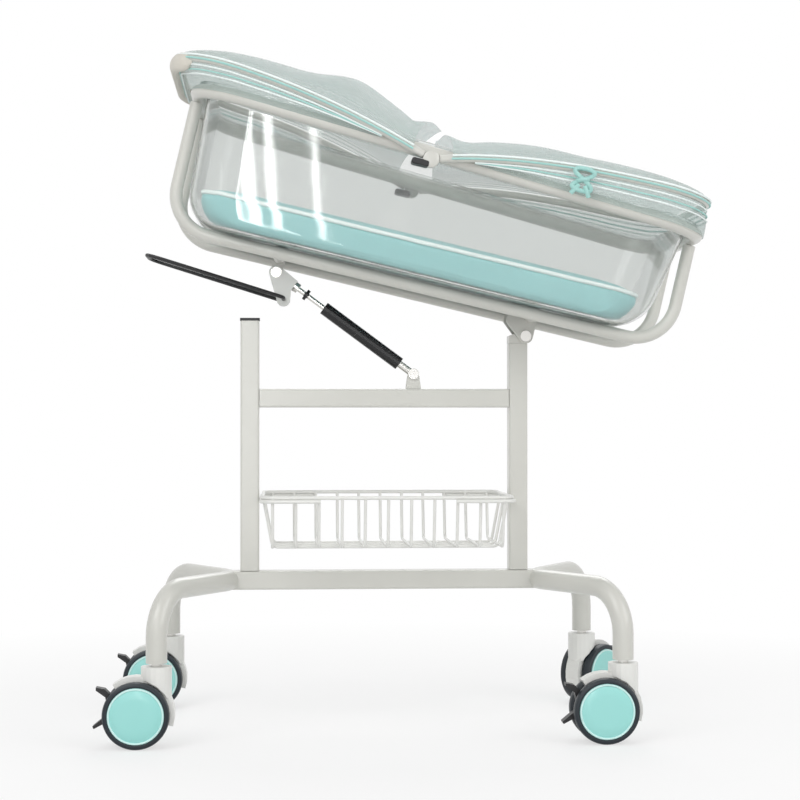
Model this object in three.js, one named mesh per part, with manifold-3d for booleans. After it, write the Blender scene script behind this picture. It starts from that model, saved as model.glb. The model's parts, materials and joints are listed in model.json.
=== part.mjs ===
// Hospital bassinet: a clear cot that tilts on a wheeled tube frame.
// Millimetres, +Z up, floor at z = 0, x = 0 midway between the posts, +X toward the foot end.

import * as THREE from 'three';
import { mergeVertices } from 'three/addons/utils/BufferGeometryUtils.js';
import Module from 'manifold-3d';

const wasm = await Module();
wasm.setup();

// Clearances
const seat = 0.3;
const runningGap = 0.3;
const clothGap = 0.6;
const linkPlay = 2.5;

// Facets of round pieces
const tubeSides = 10;
const boreSides = 8;
const wireSides = 5;
const wheelSides = 20;
const pinSides = 12;

// Square tube frame
const barSize = 30;
const barWall = 1.5;
const barCorner = 3;
const postSpacing = 430.5;
const lowerBarHeight = 231.5;
const topBarHeight = 522;
const headPostTop = 645.5;
const footPostTop = 610;
const capThickness = 4;
const capOverhang = 0.8;

// Bent leg tubes
const legRadius = 16;
const legWall = 2;
const legBottom = 125;
const stemHalfLength = 351.5;
const stemHalfWidth = 195;
const legDropBend = 68;
const legApexBend = 60;

// Casters
const wheelRadius = 50;
const wheelWidth = 18;
const treadRound = 4;
const coverRadius = 42;
const coverThickness = 3;
const coverDepth = 2.5;
const casterTrail = 29;
const webHalfWidth = 13;
const wheelSideGap = 0.5;
const hoodRadius = 57;
const hoodFrontAngle = -18;
const hoodBackAngle = 128;
const hubRadius = 13;
const bossRadius = 23;
const bossDepth = 46;
const bossTop = 120.5;
const axleRadius = 5;
const stemRadius = 8;
const stemPlugLength = 40;
const stemSocketDepth = 30;
const footFarSwivel = 224;

// Brake pedal of a caster, measured from the wheel axle
const pedalPivotBack = 33;
const pedalPivotRise = 8;
const pedalHalfWidth = 9;
const pedalLugRadius = 6;
const pedalLugHalfWidth = 4;
const pedalPinRadius = 2.5;
const pedalSlotHalfHeight = 9;

// Tilting cot, measured from the hinge pin with x toward the foot and z square to the rails
const restTilt = 13.2;
const pivotOffset = 11;
const pivotRise = 11.6;
const railRadius = 10;
const railWall = 1.5;
const railHalfSpacing = 85;
const railHeight = 32;
const railBend = 65;
const cotLength = 804;
const hingeFromFoot = 213;
const rimRadius = 11;
const rimWall = 1.5;
const rimHalfWidth = 183;
const rimCorner = 75;
const rimHeadHeight = 241;
const rimFootHeight = 206;
const ventRadius = 3;

// Clear tub and mattress
const tubWall = 4;
const tubSideGap = 4;
const tubFootTaper = 34;
const tubHeadTaper = 10;
const tubSideTaper = 18;
const tubCorner = 55;
const tubEndRound = 50;
const tubSideRound = 14;
const flangeLap = 15;
const mattressGap = 5;
const mattressThickness = 54;
const mattressCrown = 9;
const mattressDraw = 3;
const mattressRound = 14;

// Hinge lugs and bolt
const lugThickness = 4;
const lugRadius = 12;
const lugGussetBack = 36;
const hingeBoltRadius = 5;
const boltHeadRadius = 9;
const boltHeadHeight = 4;

// Gas spring, release head and handle
const springFootX = 46.7;
const springEyeRise = 23.8;
const springLugX = -412.4;
const springLugDrop = 14.4;
const springPinRadius = 4;
const springPinHead = 8.5;
const springPinHeadHeight = 3;
const springEyeRadius = 9;
const springEyeHalfWidth = 7;
const springEarThickness = 3;
const springNeck = 28;
const springNeckRadius = 6;
const springExposed = 95.2;
const springBodyRadius = 10.5;
const springBodyWall = 2;
const springGland = 6;
const springRodRadius = 4;
const springPistonDepth = 34;
const springStop = 32.6;
const springStopRadius = 9;
const springStopThickness = 5;
const springNutRadius = 8;
const springNutHeight = 8;
const springNutBack = 15;
const headBlockBack = 22;
const headBlockFront = 36;
const headCheekThickness = 3;
const headLobeBack = 34.9;
const headLobeDrop = 27.4;
const headLobeRadius = 11;
const handleRadius = 3;
const handleLength = 226;
const handleHalfWidth = 50;
const handleBend = 22;
const handleSlope = 19.1;

// Wire basket
const wireRadius = 3;
const basketRimHeight = 367;
const basketHalfWidth = 122;
const basketDepth = 77;
const basketEndDraw = 15;
const basketSideDraw = 17;
const basketCorner = 22;
const basketRibCount = 11;
const basketLengthwiseCount = 3;
const hangerReach = 92;
const hangerDrop = 5.4;

// Net hoods on hinged bows
const clipX = -222;
const clipDrop = 12;
const clipHubRadius = 13;
const clipWidth = 28;
const clipHeight = 11;
const bowRadius = 6;
const bowOffset = 20;
const bowCorner = 95;
const headBowReach = 409;
const headBowRise = 69;
const headBowEase = 2;
const footBowReach = 440;
const footBowRise = 45;
const footBowEase = 3;
const netThickness = 2;
const headNetCrown = 70;
const footNetCrown = 50;
const netOpenShare = 0.78;
const netFall = 0.28;
const netRidgeAt = 0.34;
const netRidgeSpread = 0.13;
const headNetRidge = 0.29;
const footNetRidge = 0.05;
const netFullness = 0.55;
const netEdgeSet = 30;
const netEdgeBow = 18;
const skirtThickness = 1.6;
const skirtGap = 0.5;
const headSkirtStart = 80;
const footSkirtStart = 66;

// Places worked out from the driving dimensions
const postX = postSpacing / 2;
const halfBar = barSize / 2;
const pivotX = postX + pivotOffset;
const pivotZ = footPostTop + pivotRise;
const cotFoot = hingeFromFoot;
const cotHead = hingeFromFoot - cotLength;
const rimSlope = (rimFootHeight - rimHeadHeight) / cotLength;
const rimHeightAt = (x) => rimHeadHeight + (x - cotHead) * rimSlope;
const tilt = THREE.MathUtils.degToRad(restTilt);
const springLugZ = railHeight - railRadius - springLugDrop;
const springFootZ = topBarHeight + halfBar + springEyeRise;
const wheelInner = webHalfWidth + wheelSideGap;
const wheelOuter = wheelInner + wheelWidth;
const tubFloor = railHeight + railRadius + seat;
const clipZ = rimHeightAt(clipX) - clipDrop;
const bowHalfWidth = rimHalfWidth + bowOffset;

// Finishes
function finish(color, roughness, metalness) {
  return new THREE.MeshStandardMaterial({ color, roughness, metalness });
}

const creamPaint = finish(0xe4e2da, 0.35, 0.1);
const whitePlastic = finish(0xf2f1ee, 0.4, 0);
const blackPlastic = finish(0x1b1c1e, 0.5, 0);
const tyreRubber = finish(0x14222c, 0.6, 0);
const tealPlastic = finish(0x8fd8d2, 0.3, 0);
const brightSteel = finish(0xc9c7c0, 0.25, 0.9);
const springBlack = finish(0x101113, 0.45, 0.3);
const clearAcrylic = finish(0xdfeae8, 0.08, 0);
const tealCloth = finish(0x9fd3d6, 0.85, 0);
const netCloth = finish(0xcfe3df, 0.9, 0);

// Solids for cutting and joining
function solidOf(geometry) {
  const bare = geometry.index ? geometry.toNonIndexed() : geometry.clone();
  bare.deleteAttribute('normal');
  bare.deleteAttribute('uv');
  const merged = mergeVertices(bare, 1e-4);
  const mesh = new wasm.Mesh({
    numProp: 3,
    vertProperties: new Float32Array(merged.attributes.position.array),
    triVerts: new Uint32Array(merged.index.array),
  });
  return new wasm.Manifold(mesh);
}

function geometryOf(solid) {
  const mesh = solid.getMesh();
  const geometry = new THREE.BufferGeometry();
  geometry.setAttribute('position', new THREE.BufferAttribute(new Float32Array(mesh.vertProperties), 3));
  geometry.setIndex(new THREE.BufferAttribute(new Uint32Array(mesh.triVerts), 1));
  return geometry;
}

function join(...geometries) {
  return geometryOf(geometries.map(solidOf).reduce((whole, piece) => whole.add(piece)));
}

function cut(geometry, ...tools) {
  return geometryOf(tools.map(solidOf).reduce((rest, tool) => rest.subtract(tool), solidOf(geometry)));
}

function largestBody(geometry) {
  const bodies = solidOf(geometry).decompose();
  return geometryOf(bodies.reduce((best, body) => (body.volume() > best.volume() ? body : best)));
}

// A path of straight runs and round bends with a station only where the tube turns
class BentPath extends THREE.Curve {
  constructor(corners, bends, bendSteps) {
    super();
    this.stations = [];
    const last = corners.length - 1;
    const heading = (i) => corners[i + 1].clone().sub(corners[i]).normalize();
    this.addStation(corners[0], heading(0));
    for (let i = 1; i < last; i += 1) {
      this.addBend(corners[i], heading(i - 1), heading(i), bends[i - 1], bendSteps);
    }
    this.addStation(corners[last], heading(last - 1));
  }

  addStation(point, tangent) {
    this.stations.push({ point: point.clone(), tangent: tangent.clone() });
  }

  addBend(corner, before, after, radius, steps) {
    const turn = before.angleTo(after);
    const run = radius * Math.tan(turn / 2);
    const start = corner.clone().addScaledVector(before, -run);
    const inward = after.clone().addScaledVector(before, -before.dot(after)).normalize();
    for (let k = 0; k <= steps; k += 1) {
      const angle = (turn * k) / steps;
      const point = start.clone().addScaledVector(before, radius * Math.sin(angle));
      point.addScaledVector(inward, radius * (1 - Math.cos(angle)));
      const tangent = before.clone().multiplyScalar(Math.cos(angle));
      tangent.addScaledVector(inward, Math.sin(angle));
      this.addStation(point, tangent);
    }
  }

  get steps() {
    return this.stations.length - 1;
  }

  getUtoTmapping(u) {
    return u;
  }

  stationAt(t) {
    return this.stations[Math.round(t * this.steps)];
  }

  getPoint(t, target = new THREE.Vector3()) {
    return target.copy(this.stationAt(t).point);
  }

  getTangent(t, target = new THREE.Vector3()) {
    return target.copy(this.stationAt(t).tangent);
  }
}

// A path whose stations follow a formula, one station for each step
class StepPath extends BentPath {
  constructor(points) {
    super([points[0], points[points.length - 1]], [], 1);
    this.stations = points.map((point, i) => {
      const before = points[Math.max(i - 1, 0)];
      const after = points[Math.min(i + 1, points.length - 1)];
      return { point: point.clone(), tangent: after.clone().sub(before).normalize() };
    });
  }
}

// Outlines
function ringPoints(radius, sides) {
  return Array.from({ length: sides }, (_, i) => {
    const angle = ((i + 0.5) / sides) * Math.PI * 2;
    return new THREE.Vector2(radius * Math.cos(angle), radius * Math.sin(angle));
  });
}

function roundShape(radius, sides, bore = 0) {
  const shape = new THREE.Shape(ringPoints(radius, sides));
  if (bore > 0) {
    shape.holes.push(new THREE.Path(ringPoints(bore, boreSides)));
  }
  return shape;
}

function roundedOutline(halfX, halfY, radius, steps, centreX = 0) {
  const points = [];
  const centres = [[1, 1], [-1, 1], [-1, -1], [1, -1]];
  centres.forEach(([sx, sy], corner) => {
    for (let k = 0; k <= steps; k += 1) {
      const angle = ((corner + k / steps) * Math.PI) / 2;
      const x = centreX + sx * (halfX - radius) + radius * Math.cos(angle);
      points.push(new THREE.Vector2(x, sy * (halfY - radius) + radius * Math.sin(angle)));
    }
  });
  return points;
}

// Basic solids
function sweep(path, shape) {
  return new THREE.ExtrudeGeometry(shape, { steps: path.steps, extrudePath: path, bevelEnabled: false });
}

function slab(shape, height) {
  return new THREE.ExtrudeGeometry(shape, { depth: height, bevelEnabled: false });
}

function platePoints(points, halfWidth, centreY = 0) {
  const geometry = slab(new THREE.Shape(points), halfWidth * 2);
  return geometry.rotateX(Math.PI / 2).translate(0, halfWidth + centreY, 0);
}

function roundAlongY(radius, from, to, x = 0, z = 0, sides = pinSides) {
  const geometry = new THREE.CylinderGeometry(radius, radius, to - from, sides);
  return geometry.translate(x, (from + to) / 2, z);
}

function block(from, to) {
  const size = to.clone().sub(from);
  const middle = to.clone().add(from).multiplyScalar(0.5);
  return new THREE.BoxGeometry(size.x, size.y, size.z).translate(middle.x, middle.y, middle.z);
}

function lathe(profile, sides) {
  return new THREE.LatheGeometry(profile.map(([r, y]) => new THREE.Vector2(r, y)), sides);
}

function discPoints(x, z, radius, from, to, steps) {
  return Array.from({ length: steps + 1 }, (_, k) => {
    const angle = THREE.MathUtils.degToRad(from + ((to - from) * k) / steps);
    return new THREE.Vector2(x + radius * Math.cos(angle), z + radius * Math.sin(angle));
  });
}

// Closed surfaces from rows of points
function facesOf(points, triangles) {
  const geometry = new THREE.BufferGeometry();
  const positions = points.flatMap((p) => [p.x, p.y, p.z]);
  geometry.setAttribute('position', new THREE.Float32BufferAttribute(positions, 3));
  let volume = 0;
  triangles.forEach(([a, b, c]) => {
    volume += points[a].dot(points[b].clone().cross(points[c]));
  });
  const ordered = volume < 0 ? triangles.map(([a, b, c]) => [a, c, b]) : triangles;
  geometry.setIndex(ordered.flat());
  return geometry;
}

function loft(rings) {
  const count = rings[0].length;
  const points = rings.flat();
  const triangles = [];
  for (let r = 0; r + 1 < rings.length; r += 1) {
    for (let i = 0; i < count; i += 1) {
      const j = (i + 1) % count;
      const [a, b, c, d] = [r * count + i, r * count + j, (r + 1) * count + j, (r + 1) * count + i];
      triangles.push([a, b, c], [a, c, d]);
    }
  }
  [[0, true], [rings.length - 1, false]].forEach(([r, first]) => {
    const centre = new THREE.Vector3();
    rings[r].forEach((p) => centre.addScaledVector(p, 1 / count));
    points.push(centre);
    const middle = points.length - 1;
    for (let i = 0; i < count; i += 1) {
      const [a, b] = [r * count + i, r * count + ((i + 1) % count)];
      triangles.push(first ? [middle, b, a] : [middle, a, b]);
    }
  });
  return facesOf(points, triangles);
}

function shell(outer, inner) {
  const rows = outer.length;
  const columns = outer[0].length;
  const points = [...outer.flat(), ...inner.flat()];
  const offset = rows * columns;
  const triangles = [];
  const quad = (a, b, c, d) => triangles.push([a, b, c], [a, c, d]);
  const at = (r, c) => r * columns + c;
  for (let r = 0; r + 1 < rows; r += 1) {
    for (let c = 0; c + 1 < columns; c += 1) {
      quad(at(r, c), at(r, c + 1), at(r + 1, c + 1), at(r + 1, c));
      quad(offset + at(r, c), offset + at(r + 1, c), offset + at(r + 1, c + 1), offset + at(r, c + 1));
    }
    quad(at(r, 0), at(r + 1, 0), offset + at(r + 1, 0), offset + at(r, 0));
    const e = columns - 1;
    quad(at(r + 1, e), at(r, e), offset + at(r, e), offset + at(r + 1, e));
  }
  for (let c = 0; c + 1 < columns; c += 1) {
    quad(at(0, c + 1), at(0, c), offset + at(0, c), offset + at(0, c + 1));
    const e = rows - 1;
    quad(at(e, c), at(e, c + 1), offset + at(e, c + 1), offset + at(e, c));
  }
  return facesOf(points, triangles);
}

const v3 = (x, y, z) => new THREE.Vector3(x, y, z);
const v2 = (x, y) => new THREE.Vector2(x, y);

function addPiece(parent, name, geometry, material) {
  const mesh = new THREE.Mesh(geometry, material);
  mesh.name = name;
  parent.add(mesh);
  return mesh;
}

// Square tubes, open at both ends
function squareTube(length) {
  const shape = new THREE.Shape(roundedOutline(halfBar, halfBar, barCorner, 2));
  const inside = halfBar - barWall;
  const signs = [[-1, -1], [1, -1], [1, 1], [-1, 1]];
  shape.holes.push(new THREE.Path(signs.map(([sx, sy]) => v2(sx * inside, sy * inside))));
  return slab(shape, length);
}

// Leg tube path at one end of the frame: caster, apex at the lower bar, caster
function legPath(side) {
  const spread = Math.atan2(stemHalfWidth, stemHalfLength - postX - halfBar - legRadius);
  const apexLift = legApexBend * (1 / Math.sin(spread) - 1);
  const apexX = side * (postX + halfBar + seat + legRadius - apexLift);
  const stemX = side * stemHalfLength;
  const corners = [
    v3(stemX, -stemHalfWidth, legBottom),
    v3(stemX, -stemHalfWidth, lowerBarHeight),
    v3(apexX, 0, lowerBarHeight),
    v3(stemX, stemHalfWidth, lowerBarHeight),
    v3(stemX, stemHalfWidth, legBottom),
  ];
  return new BentPath(corners, [legDropBend, legApexBend, legDropBend], 4);
}

function buildFrame(parent) {
  const barTop = lowerBarHeight + halfBar;
  const postFoot = barTop + seat;
  const posts = [['head_post', -postX, headPostTop], ['foot_post', postX, footPostTop]];
  posts.forEach(([name, x, top]) => {
    addPiece(parent, name, squareTube(top - postFoot), creamPaint).position.set(x, 0, postFoot);
  });

  const legs = [['head_leg_tube', -1], ['foot_leg_tube', 1]];
  legs.forEach(([name, side]) => {
    const tube = roundShape(legRadius, tubeSides, legRadius - legWall);
    addPiece(parent, name, sweep(legPath(side), tube), creamPaint);
  });

  const lowerLength = 2 * (postX + halfBar + legRadius);
  const rawBar = squareTube(lowerLength).rotateY(Math.PI / 2).translate(-lowerLength / 2, 0, lowerBarHeight);
  const coping = roundShape(legRadius + seat / Math.cos(Math.PI / tubeSides), tubeSides);
  const copedBar = cut(rawBar, sweep(legPath(-1), coping), sweep(legPath(1), coping));
  const lowerBar = largestBody(copedBar);
  addPiece(parent, 'lower_bar', lowerBar, creamPaint);

  const topLength = postSpacing - barSize - 2 * seat;
  const topBar = squareTube(topLength).rotateY(Math.PI / 2).translate(-topLength / 2, 0, topBarHeight);
  addPiece(parent, 'top_bar', topBar, creamPaint);

  const capSide = halfBar + capOverhang;
  const plug = halfBar - barWall - seat;
  const capBase = headPostTop + seat;
  const cap = join(
    slab(new THREE.Shape(roundedOutline(capSide, capSide, barCorner, 2)), capThickness),
    block(v3(-plug, -plug, -barSize / 2), v3(plug, plug, capThickness / 2)),
  );
  addPiece(parent, 'post_cap', cap, blackPlastic).position.set(-postX, 0, capBase);
}

// Hinge bracket on the foot post, with its bolt along Y
function buildHingeBase(parent) {
  const halfWidth = halfBar;
  const foot = -pivotRise + seat;
  const outline = [
    v2(-pivotOffset - halfBar, foot),
    v2(halfBar - pivotOffset, foot),
    ...discPoints(0, 0, lugRadius, -40, 140, 8),
    v2(-pivotOffset - halfBar, foot + lugRadius),
  ];
  const boltHole = roundAlongY(hingeBoltRadius + seat, -barSize, barSize);
  const bracket = cut(platePoints(outline, halfWidth), boltHole);
  addPiece(parent, 'hinge_bracket', bracket, creamPaint).position.set(pivotX, 0, pivotZ);

  const grip = halfBar + 2 * runningGap + lugThickness + seat;
  const bolt = lathe([
    [0, -grip - boltHeadHeight],
    [boltHeadRadius, -grip - boltHeadHeight],
    [boltHeadRadius, -grip],
    [hingeBoltRadius, -grip],
    [hingeBoltRadius, grip],
    [boltHeadRadius, grip],
    [boltHeadRadius, grip + boltHeadHeight],
    [0, grip + boltHeadHeight],
  ], pinSides);
  addPiece(parent, 'hinge_bolt', bolt, brightSteel).position.set(pivotX, 0, pivotZ);
}

// A headed pin along Y
function headedPin(radius, grip) {
  return lathe([
    [0, -grip - springPinHeadHeight],
    [springPinHead, -grip - springPinHeadHeight],
    [springPinHead, -grip],
    [radius, -grip],
    [radius, grip],
    [springPinHead, grip],
    [springPinHead, grip + springPinHeadHeight],
    [0, grip + springPinHeadHeight],
  ], pinSides);
}

// Clevis on the top bar that holds the spring's lower eye
function buildSpringBase(parent) {
  const foot = -springEyeRise + seat;
  const earInner = springEyeHalfWidth + runningGap;
  const earOuter = earInner + springEarThickness;
  const outline = [
    v2(-springEyeRadius - 3, foot),
    v2(springEyeRadius + 3, foot),
    ...discPoints(0, 0, springEyeRadius, -10, 190, 8),
  ];
  const clearEye = block(
    v3(-barSize, -earInner, foot + springEarThickness),
    v3(barSize, earInner, barSize),
  );
  const bracket = cut(
    platePoints(outline, earOuter),
    clearEye,
    roundAlongY(springPinRadius + seat, -barSize, barSize),
  );
  addPiece(parent, 'spring_bracket', bracket, creamPaint).position.set(springFootX, 0, springFootZ);
  const pin = headedPin(springPinRadius, earOuter + seat);
  addPiece(parent, 'spring_lower_pin', pin, brightSteel).position.set(springFootX, 0, springFootZ);
}

// Wire basket between the posts
function wire(corners, bend, radius = wireRadius) {
  const bends = corners.slice(2).map(() => bend);
  return sweep(new BentPath(corners, bends, 2), roundShape(radius, wireSides));
}

function buildBasket(parent) {
  const hangerX = postX - halfBar - seat - wireRadius;
  const endX = hangerX - wireRadius;
  const bottom = basketRimHeight - basketDepth;
  const bottomX = endX - basketEndDraw;
  const bottomY = basketHalfWidth - basketSideDraw;
  const pieces = [];
  const rimHalf = (side) => wire([
    v3(side, -basketHalfWidth, basketRimHeight),
    v3(side * -endX, -basketHalfWidth, basketRimHeight),
    v3(side * -endX, basketHalfWidth, basketRimHeight),
    v3(side, basketHalfWidth, basketRimHeight),
  ], basketCorner);
  pieces.push(rimHalf(1), rimHalf(-1));
  for (let i = 0; i < basketRibCount; i += 1) {
    const x = bottomX * ((2 * i) / (basketRibCount - 1) - 1);
    pieces.push(wire([
      v3(x, -basketHalfWidth, basketRimHeight),
      v3(x, -bottomY, bottom),
      v3(x, bottomY, bottom),
      v3(x, basketHalfWidth, basketRimHeight),
    ], basketCorner / 2, wireRadius * 0.8));
  }
  for (let i = 0; i < basketLengthwiseCount; i += 1) {
    const y = bottomY * ((2 * (i + 1)) / (basketLengthwiseCount + 1) - 1);
    pieces.push(wire([
      v3(-endX, y, basketRimHeight),
      v3(-bottomX, y, bottom - wireRadius),
      v3(bottomX, y, bottom - wireRadius),
      v3(endX, y, basketRimHeight),
    ], basketCorner / 2, wireRadius * 0.8));
  }
  [-1, 1].forEach((side) => {
    const height = basketRimHeight - hangerDrop;
    const reach = side * (hangerX - hangerReach);
    const outY = basketHalfWidth + wireRadius;
    pieces.push(wire([
      v3(reach, -outY, height),
      v3(side * hangerX, -outY, height),
      v3(side * hangerX, outY, height),
      v3(reach, outY, height),
    ], basketCorner));
  });
  addPiece(parent, 'basket', join(...pieces), creamPaint);
}

// One caster: stem in the leg, swivelling housing, twin wheels and brake pedal
function buildCaster(parent, name, x, y, swivel) {
  const stemPlug = (legRadius - legWall) * Math.cos(Math.PI / boreSides) - seat;
  const socketFloor = bossTop - stemSocketDepth;
  const stem = lathe([
    [0, socketFloor + seat],
    [stemRadius, socketFloor + seat],
    [stemRadius, legBottom + seat],
    [stemPlug, legBottom + seat],
    [stemPlug, legBottom + stemPlugLength],
    [0, legBottom + stemPlugLength],
  ], pinSides).rotateX(Math.PI / 2);
  addPiece(parent, `${name}_stem`, stem, brightSteel).position.set(x, y, 0);

  const caster = new THREE.Group();
  caster.position.set(x, y, 0);
  caster.rotation.z = THREE.MathUtils.degToRad(swivel);
  parent.add(caster);
  addPiece(caster, `${name}_housing`, casterHousing(socketFloor), whitePlastic);
  const axle = v3(-casterTrail, 0, wheelRadius);
  [['outer', -1], ['inner', 1]].forEach(([which, side]) => {
    const wheel = addPiece(caster, `${name}_${which}_wheel`, casterWheel(), tyreRubber);
    const cover = addPiece(caster, `${name}_${which}_cover`, wheelCover(), tealPlastic);
    [wheel, cover].forEach((piece) => {
      piece.position.copy(axle);
      piece.rotation.z = side < 0 ? Math.PI : 0;
    });
  });
  addPiece(caster, `${name}_brake_pedal`, brakePedal(), blackPlastic).position.copy(axle);
}

function casterHousing(socketFloor) {
  const web = platePoints([
    ...discPoints(0, 0, hoodRadius, hoodFrontAngle, hoodBackAngle, 12),
    ...discPoints(0, 0, hubRadius, 150, 330, 6),
  ], webHalfWidth);
  const lug = platePoints([
    v2(0, pedalPivotRise - pedalLugRadius),
    v2(0, pedalPivotRise + pedalLugRadius),
    ...discPoints(-pedalPivotBack, pedalPivotRise, pedalLugRadius, 90, 270, 5),
  ], pedalLugHalfWidth);
  const pedalPin = roundAlongY(
    pedalPinRadius, -pedalHalfWidth, pedalHalfWidth, -pedalPivotBack, pedalPivotRise, 8,
  );
  const axle = roundAlongY(axleRadius, -wheelOuter + coverDepth + 1, wheelOuter - coverDepth - 1);
  const boss = new THREE.CylinderGeometry(bossRadius, bossRadius, bossDepth, 20).rotateX(Math.PI / 2);
  boss.translate(casterTrail, 0, bossTop - bossDepth / 2 - wheelRadius);
  const wheelRoom = wheelRadius + 2.5;
  const rooms = [-1, 1].map((side) => roundAlongY(
    wheelRoom,
    Math.min(side * webHalfWidth, side * 2 * wheelOuter),
    Math.max(side * webHalfWidth, side * 2 * wheelOuter),
    0, 0, wheelSides,
  ));
  const socket = new THREE.CylinderGeometry(
    stemRadius + runningGap, stemRadius + runningGap, stemSocketDepth * 2, pinSides,
  ).rotateX(Math.PI / 2).translate(casterTrail, 0, socketFloor - wheelRadius + stemSocketDepth);
  const body = cut(join(web, boss), socket, ...rooms);
  return join(body, lug, pedalPin, axle).translate(-casterTrail, 0, wheelRadius);
}

function casterWheel() {
  const bore = axleRadius + runningGap;
  const pocket = coverRadius + seat;
  const pocketFloor = wheelOuter - coverDepth;
  const profile = [
    [bore, wheelInner],
    [wheelRadius - treadRound, wheelInner],
    [wheelRadius, wheelInner + treadRound],
    [wheelRadius, wheelOuter - treadRound],
    [wheelRadius - treadRound, wheelOuter],
    [pocket, wheelOuter],
    [pocket, pocketFloor],
    [bore, pocketFloor],
    [bore, wheelInner],
  ];
  return lathe(profile, wheelSides);
}

function wheelCover() {
  const back = wheelOuter - coverDepth + seat;
  const front = back + coverThickness;
  const profile = [
    [0, back],
    [coverRadius, back],
    [coverRadius, front - 1],
    [coverRadius - 2, front],
    [0, front],
  ];
  return lathe(profile, wheelSides);
}

function brakePedal() {
  const px = -pedalPivotBack;
  const pz = pedalPivotRise;
  const outline = [
    v2(px - 27, pz + 32.5),
    v2(px - 27, pz + 28),
    v2(px - 13, pz + 18),
    v2(px - 10, pz + 2),
    v2(px - 13, pz - 10),
    v2(px - 32, pz - 25.5),
    v2(px - 30, pz - 29),
    v2(px - 9, pz - 18),
    v2(px + 3, pz - 12),
    v2(px + 8, pz - 4),
    v2(px + 6, pz + 6),
    v2(px - 6, pz + 22),
    v2(px - 14, pz + 30),
  ];
  const slot = block(
    v3(px - pedalLugRadius - 1.3, -pedalLugHalfWidth - seat, pz - pedalSlotHalfHeight),
    v3(0, pedalLugHalfWidth + seat, pz + pedalSlotHalfHeight),
  );
  const bore = roundAlongY(pedalPinRadius + runningGap, -barSize, barSize, px, pz, 8);
  return cut(platePoints(outline, pedalHalfWidth), slot, bore);
}

// Cot frame: two bent rails, a rim tube and two cross tubes with their lugs
function buildCotFrame(parent) {
  const saddle = (rimRadius + seat) / Math.cos(Math.PI / tubeSides);
  const saddleAt = (x) => roundAlongY(saddle, -barSize, barSize, 0, 0, tubeSides)
    .translate(x, 0, rimHeightAt(x));
  [['near_rail', -1], ['far_rail', 1]].forEach(([name, side]) => {
    const y = side * railHalfSpacing;
    const path = new BentPath([
      v3(cotHead, 0, rimHeadHeight),
      v3(cotHead, 0, railHeight),
      v3(cotFoot, 0, railHeight),
      v3(cotFoot, 0, rimFootHeight),
    ], [railBend, railBend], 4);
    const tube = sweep(path, roundShape(railRadius, tubeSides, railRadius - railWall));
    addPiece(parent, name, cut(tube, saddleAt(cotHead), saddleAt(cotFoot)), creamPaint).position.y = y;
  });

  const middle = (cotHead + cotFoot) / 2;
  const rimHalf = (end, over) => sweep(new BentPath([
    v3(middle + over, -rimHalfWidth, rimHeightAt(middle + over)),
    v3(end, -rimHalfWidth, rimHeightAt(end)),
    v3(end, rimHalfWidth, rimHeightAt(end)),
    v3(middle + over, rimHalfWidth, rimHeightAt(middle + over)),
  ], [rimCorner, rimCorner], 5), roundShape(rimRadius, tubeSides, rimRadius - rimWall));
  const vent = new THREE.CylinderGeometry(ventRadius, ventRadius, rimRadius, boreSides)
    .rotateX(Math.PI / 2).translate(cotFoot, 0, rimFootHeight - rimRadius);
  const rim = cut(join(rimHalf(cotHead, 1), rimHalf(cotFoot, -1)), vent);
  addPiece(parent, 'rim_tube', rim, creamPaint);

  buildCrossTubes(parent);
}

function crossTube(x) {
  const half = railHalfSpacing - railRadius - seat;
  return roundAlongY(railRadius, -half, half, x, railHeight, tubeSides);
}

function buildCrossTubes(parent) {
  const lugInner = halfBar + 2 * runningGap;
  const lugMiddle = lugInner + lugThickness / 2;
  const lugOutline = [
    ...discPoints(0, 0, lugRadius, -150, 0, 8),
    v2(lugRadius, railHeight),
    v2(-lugGussetBack, railHeight),
    v2(-lugGussetBack, railHeight - railRadius - 6),
  ];
  const hingeLugs = [-1, 1].map((side) => platePoints(lugOutline, lugThickness / 2, side * lugMiddle));
  const footTube = cut(
    join(crossTube(0), ...hingeLugs),
    roundAlongY(hingeBoltRadius + runningGap, -barSize, barSize),
  );
  addPiece(parent, 'foot_cross_tube', footTube, creamPaint);

  const springLug = platePoints([
    ...discPoints(springLugX, springLugZ, springEyeRadius, 180, 360, 8),
    v2(springLugX + springEyeRadius, railHeight),
    v2(springLugX - springEyeRadius, railHeight),
  ], springEyeHalfWidth);
  const headTube = cut(
    join(crossTube(springLugX), springLug),
    roundAlongY(springPinRadius + seat, -barSize, barSize, springLugX, springLugZ),
  );
  addPiece(parent, 'head_cross_tube', headTube, creamPaint);

  const cheekOuter = springEyeHalfWidth + runningGap + headCheekThickness;
  const pin = headedPin(springPinRadius, cheekOuter + runningGap);
  addPiece(parent, 'spring_upper_pin', pin, brightSteel).position.set(springLugX, 0, springLugZ);
}

// How far a rounded bottom edge stands in at a height above the floor
function edgeInset(radius, height) {
  const rest = Math.max(radius - height, 0);
  return radius - Math.sqrt(radius * radius - rest * rest);
}

// Clear tub that hangs by its flange on the rim and rests on the rails
function tubOutline(inset, endInset, sideInset, taperShare) {
  const head = cotHead + rimRadius + tubSideGap + inset + endInset + tubHeadTaper * taperShare;
  const foot = cotFoot - rimRadius - tubSideGap - inset - endInset - tubFootTaper * taperShare;
  const halfY = rimHalfWidth - rimRadius - tubSideGap - inset - sideInset - tubSideTaper * taperShare;
  const corner = tubCorner - inset;
  return roundedOutline((foot - head) / 2, halfY, corner, 5, (foot + head) / 2);
}

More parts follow.
